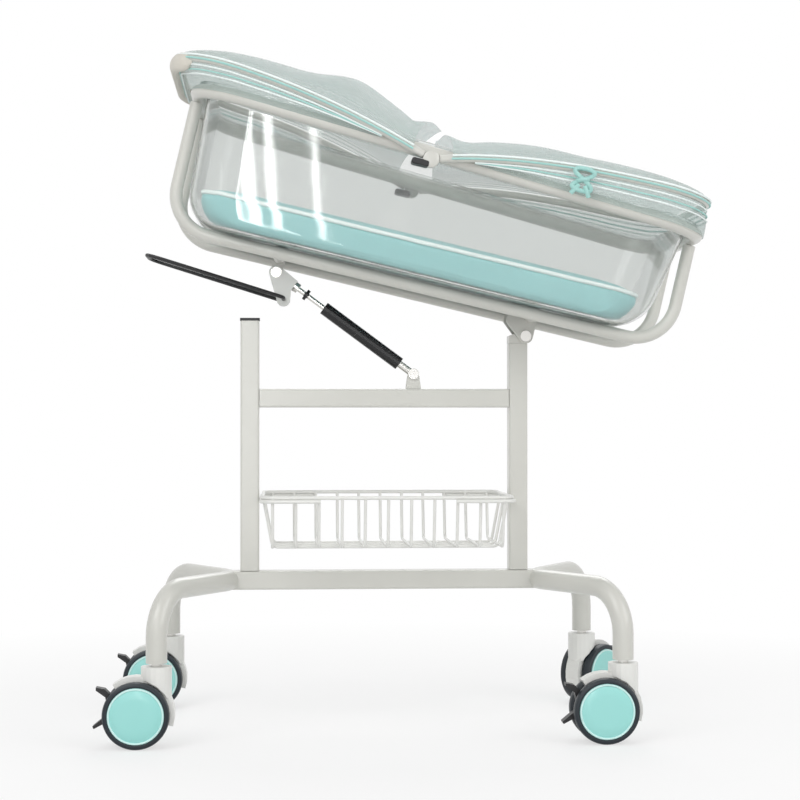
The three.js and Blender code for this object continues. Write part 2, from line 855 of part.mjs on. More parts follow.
function tubLevel(inset, height) {
  const share = 1 - (height - inset) / (rimFootHeight - tubFloor);
  const level = height - inset;
  const outline = tubOutline(
    inset, edgeInset(tubEndRound - inset, level), edgeInset(tubSideRound - inset, level), share,
  );
  return outline.map((p) => v3(p.x, p.y, tubFloor + height));
}

function tubBrim(inset, lift) {
  const outline = tubOutline(inset, 0, 0, 0);
  return outline.map((p) => v3(p.x, p.y, rimHeightAt(p.x) + rimRadius + seat + lift));
}

function buildTub(parent) {
  const levels = [0, 0.08, 0.28, 0.6, 1].map((share) => share * tubEndRound);
  const rings = [
    ...levels.map((height) => tubLevel(0, height)),
    tubBrim(0, 0),
    tubBrim(-flangeLap, 0),
    tubBrim(-flangeLap, tubWall),
    tubBrim(tubWall, tubWall),
    ...levels.map((height) => tubLevel(tubWall, height + tubWall)).reverse(),
  ];
  addPiece(parent, 'tub', loft(rings), clearAcrylic);
}

// Mattress: crowned top, round edges and sides drawn in between the corners
function mattressRing(endInset, sideInset, height, crown) {
  const reach = rimRadius + tubSideGap + tubWall + mattressGap;
  const head = cotHead + reach + tubHeadTaper;
  const foot = cotFoot - reach - tubFootTaper;
  const halfX = (foot - head) / 2;
  const halfY = rimHalfWidth - reach - tubSideTaper;
  const middle = (head + foot) / 2;
  return subdivide(roundedOutline(halfX, halfY, tubCorner - tubWall, 5, 0), 60).map((p) => {
    const along = p.x / halfX;
    const across = p.y / halfY;
    const drawY = mattressDraw * Math.sign(across) * Math.abs(across) ** 3 * (1 - along * along);
    const drawX = mattressDraw * Math.sign(along) * Math.abs(along) ** 3 * (1 - across * across);
    const x = (p.x - drawX) * (1 - endInset / halfX);
    const y = (p.y - drawY) * (1 - sideInset / halfY);
    return v3(middle + x, y, tubFloor + tubWall + seat + height + crown * mattressCrown);
  });
}

function subdivide(points, longest) {
  return points.flatMap((p, i) => {
    const next = points[(i + 1) % points.length];
    const count = Math.max(1, Math.ceil(p.distanceTo(next) / longest));
    return Array.from({ length: count }, (_, k) => p.clone().lerp(next, k / count));
  });
}

function buildMattress(parent) {
  const low = [0, 0.1, 0.35, 0.75].map((share) => share * tubEndRound);
  const rings = low.map((height) => mattressRing(
    edgeInset(tubEndRound, height), edgeInset(tubSideRound, height), height, 0,
  ));
  [0, 35, 65].forEach((degrees) => {
    const angle = THREE.MathUtils.degToRad(degrees);
    const inset = mattressRound * (1 - Math.cos(angle));
    const height = mattressThickness - mattressRound * (1 - Math.sin(angle));
    rings.push(mattressRing(inset, inset, height, 0));
  });
  [0.1, 0.35, 0.65, 0.9].forEach((share) => {
    const inset = mattressRound * 0.6 + share * rimHalfWidth * 0.75;
    rings.push(mattressRing(inset, inset, mattressThickness, 1 - (1 - share) ** 2));
  });
  addPiece(parent, 'mattress', loft(rings), tealCloth);
}

// Net hoods: a bow hinged at the side clips, its net and the skirt below it
const hoods = [
  {
    name: 'head', way: -1, reach: headBowReach, rise: headBowRise, ease: headBowEase,
    crown: headNetCrown, ridge: headNetRidge, skirtStart: headSkirtStart, rimEnd: cotHead - rimRadius,
  },
  {
    name: 'foot', way: 1, reach: footBowReach, rise: footBowRise, ease: footBowEase,
    crown: footNetCrown, ridge: footNetRidge, skirtStart: footSkirtStart, rimEnd: cotFoot + rimRadius,
  },
];

function bowHeight(hood, distance) {
  return clipZ + hood.rise * (1 - (1 - Math.min(distance / hood.reach, 1)) ** hood.ease);
}

// Plan of a bow from the near clip, round the end, to the far clip, as distance out and y
function bowPlan(hood, start, straightSteps, halfWidth, corner, reach) {
  const turnStart = reach - corner;
  const near = [];
  for (let k = 0; k <= straightSteps; k += 1) {
    near.push(v2(start + ((turnStart - start) * k) / straightSteps, -halfWidth));
  }
  for (let k = 1; k <= 5; k += 1) {
    const angle = (k / 5) * (Math.PI / 2);
    near.push(v2(turnStart + corner * Math.sin(angle), -halfWidth + corner * (1 - Math.cos(angle))));
  }
  const far = near.map((p) => v2(p.x, -p.y)).reverse();
  return [...near, ...far];
}

function buildBow(parent, hood) {
  const startSlope = (hood.rise * hood.ease) / hood.reach;
  const start = (clipHubRadius + runningGap) / Math.hypot(1, startSlope);
  const plan = bowPlan(hood, start, 6, bowHalfWidth, bowCorner, hood.reach);
  const points = plan.map((p) => v3(clipX + hood.way * p.x, p.y, bowHeight(hood, p.x)));
  addPiece(parent, `${hood.name}_bow`, sweep(new StepPath(points), roundShape(bowRadius, 8)), creamPaint);
}

function netPoint(hood, t, across, lift) {
  const turnStart = hood.reach - bowCorner;
  const edge = netEdgeSet - netEdgeBow * (1 - across * across);
  const reach = hood.reach - 1;
  const out = edge + (reach - edge) * t;
  const into = Math.max(out - turnStart, 0);
  const half = bowHalfWidth - bowCorner + Math.sqrt(Math.max(bowCorner * bowCorner - into * into, 0));
  const rest = bowHeight(hood, netEdgeSet + (reach - netEdgeSet) * t) + bowRadius + clothGap + netThickness;
  const ridge = hood.ridge * Math.exp(-(((t - netRidgeAt) / netRidgeSpread) ** 2));
  const dome = Math.sqrt(Math.max(1 - t ** 4, 0)) * (netOpenShare - netFall * t + ridge);
  const height = rest + hood.crown * dome * (1 - across * across) ** netFullness;
  return v3(clipX + hood.way * out, across * half, height + lift);
}

function buildNet(parent, hood) {
  const rows = 10;
  const columns = 12;
  const grid = (lift) => Array.from({ length: rows + 1 }, (_, r) => (
    Array.from({ length: columns + 1 }, (__, c) => netPoint(hood, r / rows, (2 * c) / columns - 1, lift))
  ));
  addPiece(parent, `${hood.name}_net`, shell(grid(0), grid(-netThickness)), netCloth);
}

function buildSkirt(parent, hood) {
  const lowHalf = rimHalfWidth + rimRadius + skirtGap;
  const lowReach = Math.abs(hood.rimEnd - clipX) + skirtGap;
  const low = bowPlan(hood, hood.skirtStart, 5, lowHalf, rimCorner + rimRadius + skirtGap, lowReach);
  const high = bowPlan(hood, hood.skirtStart, 5, bowHalfWidth, bowCorner, hood.reach);
  const surface = (out) => low.map((p, i) => {
    const lowX = clipX + hood.way * (p.x + out * (p.x > hood.skirtStart + 1 ? 1 : 0));
    const lowY = p.y + Math.sign(p.y) * out;
    const highX = clipX + hood.way * (high[i].x + out * (high[i].x > hood.skirtStart + 1 ? 1 : 0));
    const highY = high[i].y + Math.sign(high[i].y) * out;
    const bottom = v3(lowX, lowY, rimHeightAt(clipX + hood.way * p.x));
    const top = v3(highX, highY, bowHeight(hood, high[i].x) - bowRadius - clothGap);
    const bulge = bottom.clone().lerp(top, 0.5);
    bulge.y += Math.sign(p.y) * skirtThickness;
    return [bottom, bulge, top];
  });
  addPiece(parent, `${hood.name}_skirt`, shell(surface(skirtThickness), surface(0)), netCloth);
}

function buildClip(parent, name, side) {
  const inner = rimHalfWidth - rimRadius * 0.6;
  const hubInner = rimHalfWidth + rimRadius + clothGap;
  const hubOuter = bowHalfWidth + bowRadius + 2;
  const top = rimHeightAt(clipX + clipWidth / 2) - rimRadius - seat;
  const foot = top - clipHeight;
  const span = [side * inner, side * hubOuter].sort((a, b) => a - b);
  const hubSpan = [side * hubInner, side * hubOuter].sort((a, b) => a - b);
  const strap = block(v3(clipX - clipWidth / 2, span[0], foot), v3(clipX + clipWidth / 2, span[1], top));
  const hub = roundAlongY(clipHubRadius, hubSpan[0], hubSpan[1], clipX, clipZ, 2 * pinSides);
  const sweepRoom = block(
    v3(clipX - clipWidth, hubSpan[0] + (side < 0 ? -1 : 1), foot - 1),
    v3(clipX + clipWidth, hubSpan[1] + (side < 0 ? -1 : 1), clipZ + clipHubRadius + 1),
  );
  const trimmed = cut(strap, cut(sweepRoom, hub));
  addPiece(parent, name, join(trimmed, hub), blackPlastic);
}

function buildCot(parent) {
  const cot = new THREE.Group();
  cot.position.set(pivotX, 0, pivotZ);
  cot.rotation.y = tilt;
  parent.add(cot);
  buildCotFrame(cot);
  buildTub(cot);
  buildMattress(cot);
  buildClip(cot, 'near_clip', -1);
  buildClip(cot, 'far_clip', 1);
  hoods.forEach((hood) => {
    buildBow(cot, hood);
    buildNet(cot, hood);
    buildSkirt(cot, hood);
  });
}

// Gas spring from the top bar to the cot, along -X of its own group
function buildSpring(parent) {
  const upper = v3(springLugX, 0, springLugZ).applyAxisAngle(v3(0, 1, 0), tilt).add(v3(pivotX, 0, pivotZ));
  const reach = upper.clone().sub(v3(springFootX, 0, springFootZ));
  const span = reach.length();
  const spring = new THREE.Group();
  spring.position.set(springFootX, 0, springFootZ);
  spring.rotation.y = Math.atan2(reach.z, -reach.x);
  parent.add(spring);

  const along = (profile) => lathe(profile, pinSides + 2).rotateZ(Math.PI / 2);
  const bodyEnd = span - springExposed;
  const boreEnd = bodyEnd - springGland;
  const bore = springBodyRadius - springBodyWall;
  const body = along([
    [0, springEyeRadius / 2],
    [springNeckRadius, springEyeRadius / 2],
    [springNeckRadius, springNeck],
    [springBodyRadius, springNeck],
    [springBodyRadius, bodyEnd],
    [springRodRadius + runningGap, bodyEnd],
    [springRodRadius + runningGap, boreEnd],
    [bore, boreEnd],
    [bore, springNeck + springBodyWall],
    [0, springNeck + springBodyWall],
  ]);
  const eye = roundAlongY(springEyeRadius, -springEyeHalfWidth, springEyeHalfWidth);
  const cylinder = cut(join(body, eye), roundAlongY(springPinRadius + runningGap, -barSize, barSize));
  addPiece(spring, 'spring_cylinder', cylinder, springBlack);

  const piston = bodyEnd - springPistonDepth;
  const stop = bodyEnd + springStop;
  const blockEnd = span - headBlockBack;
  const blockFront = span - headBlockFront;
  const nut = blockFront - seat - springNutHeight;
  const rod = along([
    [0, piston],
    [bore - runningGap, piston],
    [bore - runningGap, piston + springGland],
    [springRodRadius, piston + springGland],
    [springRodRadius, stop],
    [springStopRadius, stop],
    [springStopRadius, stop + springStopThickness],
    [springRodRadius, stop + springStopThickness],
    [springRodRadius, nut],
    [springNutRadius, nut],
    [springNutRadius, nut + springNutHeight],
    [springRodRadius, nut + springNutHeight],
    [springRodRadius, blockEnd - springEarThickness],
    [0, blockEnd - springEarThickness],
  ]);
  addPiece(spring, 'spring_rod', rod, brightSteel);
  buildReleaseHead(spring, span, blockFront, blockEnd);
}

function buildReleaseHead(spring, span, blockFront, blockEnd) {
  const cheekInner = springEyeHalfWidth + runningGap;
  const cheekOuter = cheekInner + headCheekThickness;
  const lobeX = -(span - headLobeBack);
  const outline = [
    ...discPoints(lobeX, -headLobeDrop, headLobeRadius, -135, 20, 7),
    v2(-blockFront, -springEyeRadius),
    v2(-blockFront, springEyeRadius),
    ...discPoints(-span, 0, springEyeRadius + linkPlay, 70, 215, 7),
  ];
  const gap = block(v3(-span - barSize, -cheekInner, -2 * barSize), v3(-blockEnd, cheekInner, barSize));
  const lobeGap = block(
    v3(-span, -cheekInner, -2 * barSize),
    v3(-span + 2 * barSize, cheekInner, -springEyeRadius),
  );
  const head = cut(
    platePoints(outline, cheekOuter),
    gap,
    lobeGap,
    roundAlongY(springPinRadius + linkPlay, -barSize, barSize, -span, 0),
    roundAlongY(handleRadius + runningGap, -barSize, barSize, lobeX, -headLobeDrop),
    roundAlongY(springRodRadius + seat, 0, blockEnd - blockFront + barSize)
      .rotateZ(Math.PI / 2).translate(-blockFront + barSize, 0, 0),
  );
  addPiece(spring, 'release_head', head, brightSteel);

  const tip = springEyeHalfWidth - 1;
  const slope = THREE.MathUtils.degToRad(handleSlope);
  const endX = lobeX - handleLength * Math.cos(slope);
  const endZ = -headLobeDrop - handleLength * Math.sin(slope);
  const handle = sweep(new BentPath([
    v3(lobeX, -tip, -headLobeDrop),
    v3(lobeX, -handleHalfWidth, -headLobeDrop),
    v3(endX, -handleHalfWidth, endZ),
    v3(endX, handleHalfWidth, endZ),
    v3(lobeX, handleHalfWidth, -headLobeDrop),
    v3(lobeX, tip, -headLobeDrop),
  ], [handleBend / 2, handleBend, handleBend, handleBend / 2], 4), roundShape(handleRadius, 8));
  addPiece(spring, 'release_handle', handle, blackPlastic);
}

const bassinet = new THREE.Group();
buildFrame(bassinet);
buildHingeBase(bassinet);
buildSpringBase(bassinet);
buildBasket(bassinet);
[['head', -1], ['foot', 1]].forEach(([end, sx]) => {
  [['near', -1], ['far', 1]].forEach(([depth, sy]) => {
    const turned = end === 'foot' && depth === 'far' ? footFarSwivel : 0;
    buildCaster(bassinet, `${end}_${depth}`, sx * stemHalfLength, sy * stemHalfWidth, turned);
  });
});
buildCot(bassinet);
buildSpring(bassinet);

export default bassinet;
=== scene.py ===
"""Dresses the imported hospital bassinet: tubes, clear tub, padded mattress, net hoods and casters."""

import json
import logging
import math
from dataclasses import dataclass, field
from enum import Enum
from typing import Any, Callable, Sequence

import bmesh
import bpy
from mathutils import Matrix, Vector
from mathutils.bvhtree import BVHTree

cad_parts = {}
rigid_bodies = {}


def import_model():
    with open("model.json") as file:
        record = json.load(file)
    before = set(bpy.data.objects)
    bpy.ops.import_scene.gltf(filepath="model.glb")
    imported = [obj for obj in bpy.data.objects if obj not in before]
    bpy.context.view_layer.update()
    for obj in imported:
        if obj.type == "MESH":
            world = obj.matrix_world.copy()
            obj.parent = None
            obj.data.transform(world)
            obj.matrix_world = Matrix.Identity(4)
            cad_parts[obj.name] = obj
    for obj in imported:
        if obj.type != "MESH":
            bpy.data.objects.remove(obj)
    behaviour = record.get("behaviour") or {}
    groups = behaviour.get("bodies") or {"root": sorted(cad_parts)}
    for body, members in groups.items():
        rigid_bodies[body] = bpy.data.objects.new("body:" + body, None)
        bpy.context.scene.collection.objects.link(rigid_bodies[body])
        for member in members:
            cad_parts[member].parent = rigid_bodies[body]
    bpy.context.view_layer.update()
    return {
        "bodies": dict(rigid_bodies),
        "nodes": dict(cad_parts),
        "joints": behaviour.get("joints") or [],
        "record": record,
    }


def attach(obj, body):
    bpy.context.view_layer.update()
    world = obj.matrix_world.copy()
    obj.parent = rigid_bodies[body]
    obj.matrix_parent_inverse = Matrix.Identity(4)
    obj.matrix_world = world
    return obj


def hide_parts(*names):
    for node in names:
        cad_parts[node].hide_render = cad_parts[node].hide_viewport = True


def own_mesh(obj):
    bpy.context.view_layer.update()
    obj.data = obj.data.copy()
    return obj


LOG = logging.getLogger("bassinet")
Point = tuple[float, float, float]
Colour = tuple[float, float, float]
Plan = list[tuple[float, float]]
Route = tuple[Sequence[Vector], bool]
MM = 0.001
SHARP = math.radians(38)
UP = Vector((0, 0, 1))
WHITE = (1.0, 1.0, 1.0, 1.0)


class Way(Enum):
    """Which end of the cot a hood covers."""

    HEAD = -1
    FOOT = 1


class Value:
    """A node socket that takes part in Python arithmetic."""

    def __init__(self, tree: "NodeTree", socket: Any) -> None:
        """Keeps the socket and the tree that owns it."""
        self.tree = tree
        self.socket = socket

    def _math(self, operation: str, first: Any, second: Any) -> "Value":
        """Adds one Math node.

        Args:
            operation: The Math node's operation.
            first: The first value.
            second: The second value.

        Returns:
            The node's result.
        """
        return self.tree.node("ShaderNodeMath", {"operation": operation}, {0: first, 1: second})

    def __add__(self, other: Any) -> "Value":
        """Sum."""
        return self._math("ADD", self, other)

    __radd__ = __add__

    def __mul__(self, other: Any) -> "Value":
        """Product."""
        return self._math("MULTIPLY", self, other)

    __rmul__ = __mul__

    def __sub__(self, other: Any) -> "Value":
        """Difference."""
        return self._math("SUBTRACT", self, other)

    def __rsub__(self, other: Any) -> "Value":
        """Reflected difference."""
        return self._math("SUBTRACT", other, self)

    def above(self, limit: float) -> "Value":
        """One where the value is above the limit."""
        return self._math("GREATER_THAN", self, limit)

    def larger(self, other: Any) -> "Value":
        """The larger of two values."""
        return self._math("MAXIMUM", self, other)


class NodeTree:
    """A shader node tree, of a material or the world."""

    def __init__(self, tree: Any) -> None:
        """Keeps the tree's nodes and links."""
        self.nodes = tree.nodes
        self.links = tree.links

    def link(self, socket: Any, value: Any) -> None:
        """Sets a socket to a number or colour, or links a value to it.

        Args:
            socket: The input socket.
            value: What it takes.
        """
        if isinstance(value, Value):
            self.links.new(value.socket, socket)
        else:
            socket.default_value = value

    def node(self, kind: str, settings: dict[str, Any], inputs: dict[Any, Any], output: Any = 0) -> Value:
        """Adds any node.

        Args:
            kind: The node's type.
            settings: Properties, set first.
            inputs: Values or links by socket.
            output: Which output is returned.

        Returns:
            The chosen output.
        """
        made = self.nodes.new(kind)
        for key, setting in settings.items():
            setattr(made, key, setting)
        for key, value in inputs.items():
            self.link(made.inputs[key], value)
        return Value(self, made.outputs[output])

    def ray(self, kind: str) -> Value:
        """One for rays of a kind, as Light Path names them."""
        return self.node("ShaderNodeLightPath", {}, {}, f"Is {kind} Ray")

    def seen_ray(self) -> Value:
        """One for the rays that show the white backdrop."""
        return self.ray("Camera").larger(self.ray("Glossy")).larger(self.ray("Transmission"))


class Shader(NodeTree):
    """A material with one Principled shader."""

    def __init__(self, name: str) -> None:
        """Makes the empty material.

        Args:
            name: The material's name.
        """
        self.material = bpy.data.materials.new(name)
        self.material.use_nodes = True
        super().__init__(self.material.node_tree)
        self.surface = self.nodes["Principled BSDF"]

    def place(self, source: str = "Object") -> Value:
        """Texture coordinates of the piece."""
        return self.node("ShaderNodeTexCoord", {}, {}, source)

    def noise(self, scale: float, detail: float = 2.0) -> Value:
        """Soft noise, as a number about a half."""
        inputs = {"Vector": self.place(), "Scale": scale, "Detail": detail}
        return self.node("ShaderNodeTexNoise", {}, inputs)

    def wave(self, scale: float, direction: str, source: str) -> Value:
        """Straight waves for threads."""
        settings = {"wave_type": "BANDS", "bands_direction": direction}
        return self.node("ShaderNodeTexWave", settings, {"Vector": self.place(source), "Scale": scale})

    def mix(self, share: Any, first: Colour, second: Colour) -> Value:
        """A mix of two colours, by Mix's colour sockets 6 and 7 and its colour output 2."""
        inputs = {"Factor": share, 6: (*first, 1.0), 7: (*second, 1.0)}
        return self.node("ShaderNodeMix", {"data_type": "RGBA"}, inputs, 2)

    def bump(self, height: Value, strength: float, distance: float) -> None:
        """Feeds a height to the shader's normal."""
        inputs = {"Height": height, "Strength": strength, "Distance": distance}
        self.link(self.surface.inputs["Normal"], self.node("ShaderNodeBump", {}, inputs))

    def put(self, **sockets: Any) -> None:
        """Sets shader sockets, with spaces written as underscores."""
        for name, value in sockets.items():
            self.link(self.surface.inputs[name.replace("_", " ")], value)

    def blend(self, share: Value, other: Value) -> None:
        """Mixes another shader into the surface.

        Args:
            share: The other shader's share.
            other: The other shader.
        """
        own = Value(self, self.surface.outputs[0])
        both = self.node("ShaderNodeMixShader", {}, {0: share, 1: own, 2: other})
        self.link(self.nodes["Material Output"].inputs["Surface"], both)


@dataclass(frozen=True)
class HardFinish:
    """A paint, plastic, rubber or metal with soft clouds and a fine grain."""

    name: str
    colour: Colour
    shade: Colour
    roughness: float
    metallic: float = 0.0
    grain: float = 900.0
    relief: float = 0.08
    coat: float = 0.0
    coat_roughness: float = 0.12
    cloud_scale: float = 9.0
    swing: float = 0.12
    grain_depth: float = 0.0004

    def make(self) -> Any:
        """Builds the material.

        Returns:
            The Blender material.
        """
        shader = Shader(self.name)
        cloud = shader.noise(self.cloud_scale, detail=4.0)
        shader.put(
            Base_Color=shader.mix(cloud, self.colour, self.shade),
            Roughness=cloud * self.swing + (self.roughness - self.swing / 2),
            Metallic=self.metallic,
            Coat_Weight=self.coat,
            Coat_Roughness=self.coat_roughness,
        )
        shader.bump(shader.noise(self.grain, detail=3.0), self.relief, self.grain_depth)
        return shader.material


@dataclass(frozen=True)
class BandFinish:
    """Bright steel with a black band across the gas spring's axis, in metres from its lower pin."""

    name: str
    low: float
    high: float
    lower_pin: Point = (0.0467, 0.0, 0.5608)
    axis: Point = (-0.804873, 0.0, 0.593447)
    steel: Colour = (0.70, 0.69, 0.66)
    black: Colour = (0.006, 0.006, 0.007)
    steel_roughness: float = 0.16
    black_rougher: float = 0.18
    cloud_scale: float = 30.0
    swing: float = 0.1
    grain: float = 1400.0
    relief: float = 0.06
    grain_depth: float = 0.0003

    def make(self) -> Any:
        """Builds the material.

        Returns:
            The Blender material.
        """
        shader = Shader(self.name)
        moved = shader.node(
            "ShaderNodeVectorMath", {"operation": "SUBTRACT"}, {0: shader.place(), 1: self.lower_pin})
        along = shader.node(
            "ShaderNodeVectorMath", {"operation": "DOT_PRODUCT"}, {0: moved, 1: self.axis}, "Value")
        band = along.above(self.low) * (1.0 - along.above(self.high))
        cloud = shader.noise(self.cloud_scale, detail=3.0)
        shader.put(
            Base_Color=shader.mix(band, self.steel, self.black),
            Metallic=1.0 - band,
            Roughness=band * self.black_rougher + cloud * self.swing + self.steel_roughness,
        )
        shader.bump(shader.noise(self.grain), self.relief, self.grain_depth)
        return shader.material


@dataclass(frozen=True)
class FloorFinish:
    """Pale floor that fades to white away from the object and keeps its soft shadow."""

    name: str = "pale_floor"
    colour: Colour = (0.86, 0.86, 0.86)
    shade: Colour = (0.88, 0.88, 0.88)
    roughness: float = 0.85
    cloud_scale: float = 3.0
    near_share: float = 0.62
    fade_from: float = 0.45
    fade_to: float = 1.5

    def make(self) -> Any:
        """Builds the material.

        Returns:
            The Blender material.
        """
        shader = Shader(self.name)
        cloud = shader.noise(self.cloud_scale)
        shader.put(Base_Color=shader.mix(cloud, self.colour, self.shade), Roughness=self.roughness)
        far = shader.node("ShaderNodeVectorMath", {"operation": "LENGTH"}, {0: shader.place()}, "Value")
        share = shader.node("ShaderNodeMapRange", {}, {
            "Value": far, "From Min": self.fade_from, "From Max": self.fade_to,
            "To Min": self.near_share, "To Max": 1.0})
        glow = shader.node("ShaderNodeEmission", {}, {"Color": WHITE, "Strength": 1.0})
        shader.blend(shader.seen_ray() * share, glow)
        return shader.material


@dataclass(frozen=True)
class ClearFinish:
    """Clear acrylic sheet that lets the lamps' light through."""

    name: str = "clear_acrylic"
    # Grey base colour dims everything seen through the walls: painted shade standing for the tub's shaded
    # inside.
    painted_shade_grey: tuple[float, float, float, float] = (0.785, 0.80, 0.79, 1.0)
    shadow_tint: tuple[float, float, float, float] = (0.93, 0.95, 0.945, 1.0)
    transmission: float = 0.96
    index: float = 1.42
    roughness: float = 0.01
    haze_scale: float = 14.0
    haze: float = 0.04

    def make(self) -> Any:
        """Builds the material.

        Returns:
            The Blender material.
        """
        shader = Shader(self.name)
        shader.put(
            Base_Color=self.painted_shade_grey,
            Roughness=shader.noise(self.haze_scale, detail=3.0) * self.haze + self.roughness,
            Transmission_Weight=self.transmission,
            IOR=self.index,
        )
        through = shader.node("ShaderNodeBsdfTransparent", {}, {"Color": self.shadow_tint})
        shader.blend(shader.ray("Shadow"), through)
        return shader.material


@dataclass(frozen=True)
class ClothFinish:
    """Woven cloth with threads along x and y."""

    name: str
    colour: Colour
    shade: Colour
    threads: float
    cloud_scale: float = 12.0
    weave_share: float = 0.3
    roughness: float = 0.86
    sheen: float = 0.25
    relief: float = 0.25
    thread_depth: float = 0.0006

    def make(self) -> Any:
        """Builds the material.

        Returns:
            The Blender material.
        """
        shader = Shader(self.name)
        warp = shader.wave(self.threads, "X", "Object")
        weft = shader.wave(self.threads, "Y", "Object")
        cloud = shader.noise(self.cloud_scale, detail=4.0)
        share = cloud * (1 - self.weave_share) + warp * weft * self.weave_share
        shader.put(
            Base_Color=shader.mix(share, self.colour, self.shade),
            Roughness=self.roughness,
            Sheen_Weight=self.sheen,
        )
        shader.bump(warp + weft, self.relief, self.thread_depth)
        return shader.material


@dataclass(frozen=True)
class NetFinish:
    """See-through mesh: threads on a grid of the piece's UV map, holes between them."""

    name: str
    colour: Colour
    shade: Colour
    threads: float = 120.0
    thread_edge: float = 0.72
    thread_cover: float = 0.30
    veil: float = 0.07
    fold_scale: float = 10.0
    fold_cover: float = 0.1
    roughness: float = 0.75
    sheen: float = 0.3
    relief: float = 0.2
    thread_depth: float = 0.0004

    def make(self) -> Any:
        """Builds the material.

        Returns:
            The Blender material.
        """
        shader = Shader(self.name)
        warp = shader.wave(self.threads, "X", "UV")
        weft = shader.wave(self.threads, "Y", "UV")
        thread = warp.larger(weft).above(self.thread_edge)
        folds = shader.noise(self.fold_scale, detail=3.0)
        shader.put(
            Base_Color=shader.mix(folds, self.colour, self.shade),
            Roughness=self.roughness,
            Alpha=thread * self.thread_cover + folds * self.fold_cover + self.veil,
            Sheen_Weight=self.sheen,
        )
        shader.bump(warp + weft, self.relief, self.thread_depth)
        return shader.material


@dataclass(frozen=True)
class Finishes:
    """Every finish of the bassinet, built once."""

    paint: Any = field(default_factory=HardFinish(
        "frame_paint", (0.63, 0.628, 0.585), (0.57, 0.567, 0.525), roughness=0.32, coat=0.35).make)
    steel: Any = field(default_factory=HardFinish(
        "bright_steel", (0.78, 0.77, 0.74), (0.62, 0.61, 0.59), roughness=0.24, metallic=1.0,
        grain=1500.0).make)
    zinc: Any = field(default_factory=HardFinish(
        "zinc_head", (0.56, 0.57, 0.55), (0.48, 0.49, 0.47), roughness=0.36, metallic=0.35,
        grain=1200.0, relief=0.1).make)
    black: Any = field(default_factory=HardFinish(
        "black_plastic", (0.006, 0.006, 0.007), (0.014, 0.014, 0.015), roughness=0.42,
        grain=1600.0, relief=0.2).make)
    cylinder: Any = field(default_factory=BandFinish("spring_paint", low=0.0278, high=0.1786).make)
    rod: Any = field(default_factory=BandFinish("rod_steel", low=0.2095, high=0.2172).make)
    white: Any = field(default_factory=HardFinish(
        "white_plastic", (0.80, 0.80, 0.77), (0.73, 0.73, 0.70), roughness=0.34, coat=0.2).make)
    teal: Any = field(default_factory=HardFinish(
        "teal_plastic", (0.30, 0.68, 0.64), (0.35, 0.73, 0.69), roughness=0.34, relief=0.06,
        coat=0.2).make)
    # Pale ring on the wheel covers: a painted highlight standing for the light caught by the covers'
    # bevelled edge.
    pale_ring: Any = field(default_factory=HardFinish(
        "pale_ring", (0.66, 0.90, 0.87), (0.60, 0.86, 0.83), roughness=0.3, relief=0.05,
        coat=0.3).make)
    tyre: Any = field(default_factory=HardFinish(
        "tyre", (0.003, 0.008, 0.013), (0.006, 0.014, 0.021), roughness=0.42, grain=1200.0,
        relief=0.25).make)
    clear: Any = field(default_factory=ClearFinish().make)
    cloth: Any = field(default_factory=ClothFinish(
        "teal_cloth", (0.29, 0.57, 0.58), (0.35, 0.63, 0.64), threads=180.0).make)
    # Pale piping, also used on the zips: on the mattress it is made whiter as a painted highlight of the
    # top edge.
    piping_and_highlight: Any = field(default_factory=ClothFinish(
        "pale_piping", (0.90, 0.95, 0.94), (0.84, 0.91, 0.90), threads=60.0).make)
    tape: Any = field(default_factory=ClothFinish(
        "teal_tape", (0.33, 0.61, 0.57), (0.43, 0.69, 0.65), threads=90.0).make)
    roll: Any = field(default_factory=ClothFinish(
        "cream_roll", (0.70, 0.67, 0.60), (0.62, 0.59, 0.52), threads=140.0).make)
    net: Any = field(default_factory=NetFinish(
        "net_cloth", (0.40, 0.52, 0.49), (0.53, 0.62, 0.59)).make)


def mesh_object(name: str, points: Sequence[Vector], faces: Sequence[Sequence[int]], material: Any,
                uvs: Sequence[tuple[float, float]] | None = None) -> Any:
    """Makes a mesh piece with smooth faces that point outwards.

    Args:
        name: The piece's name.
        points: Its vertices in metres.
        faces: Vertex numbers of each face.
        material: Its finish.
        uvs: A UV point for each vertex.

    Returns:
        The Blender object.
    """
    mesh = bpy.data.meshes.new(name)
    mesh.from_pydata([tuple(p) for p in points], [], [tuple(f) for f in faces])
    layer = mesh.uv_layers.new(name="threads")
    for loop in mesh.loops:
        layer.data[loop.index].uv = uvs[loop.vertex_index] if uvs else (0.0, 0.0)
    work = bmesh.new()
    work.from_mesh(mesh)
    bmesh.ops.recalc_face_normals(work, faces=work.faces)
    for face in work.faces:
        face.smooth = True
    work.to_mesh(mesh)
    work.free()
    mesh.set_sharp_from_angle(angle=SHARP)
    mesh.materials.append(material)
    made = bpy.data.objects.new(name, mesh)
    bpy.context.collection.objects.link(made)
    return made


def grid_faces(rows: int, columns: int, wrap: bool) -> list[tuple[int, int, int, int]]:
    """Faces of a grid of points.

    Args:
        rows: How many rows.
        columns: How many points in a row.
        wrap: Whether each row closes on itself.

    Returns:
        Four vertex numbers for each face.
    """
    last = columns if wrap else columns - 1
    return [
        (r * columns + c, r * columns + (c + 1) % columns,
         (r + 1) * columns + (c + 1) % columns, (r + 1) * columns + c)
        for r in range(rows - 1) for c in range(last)
    ]


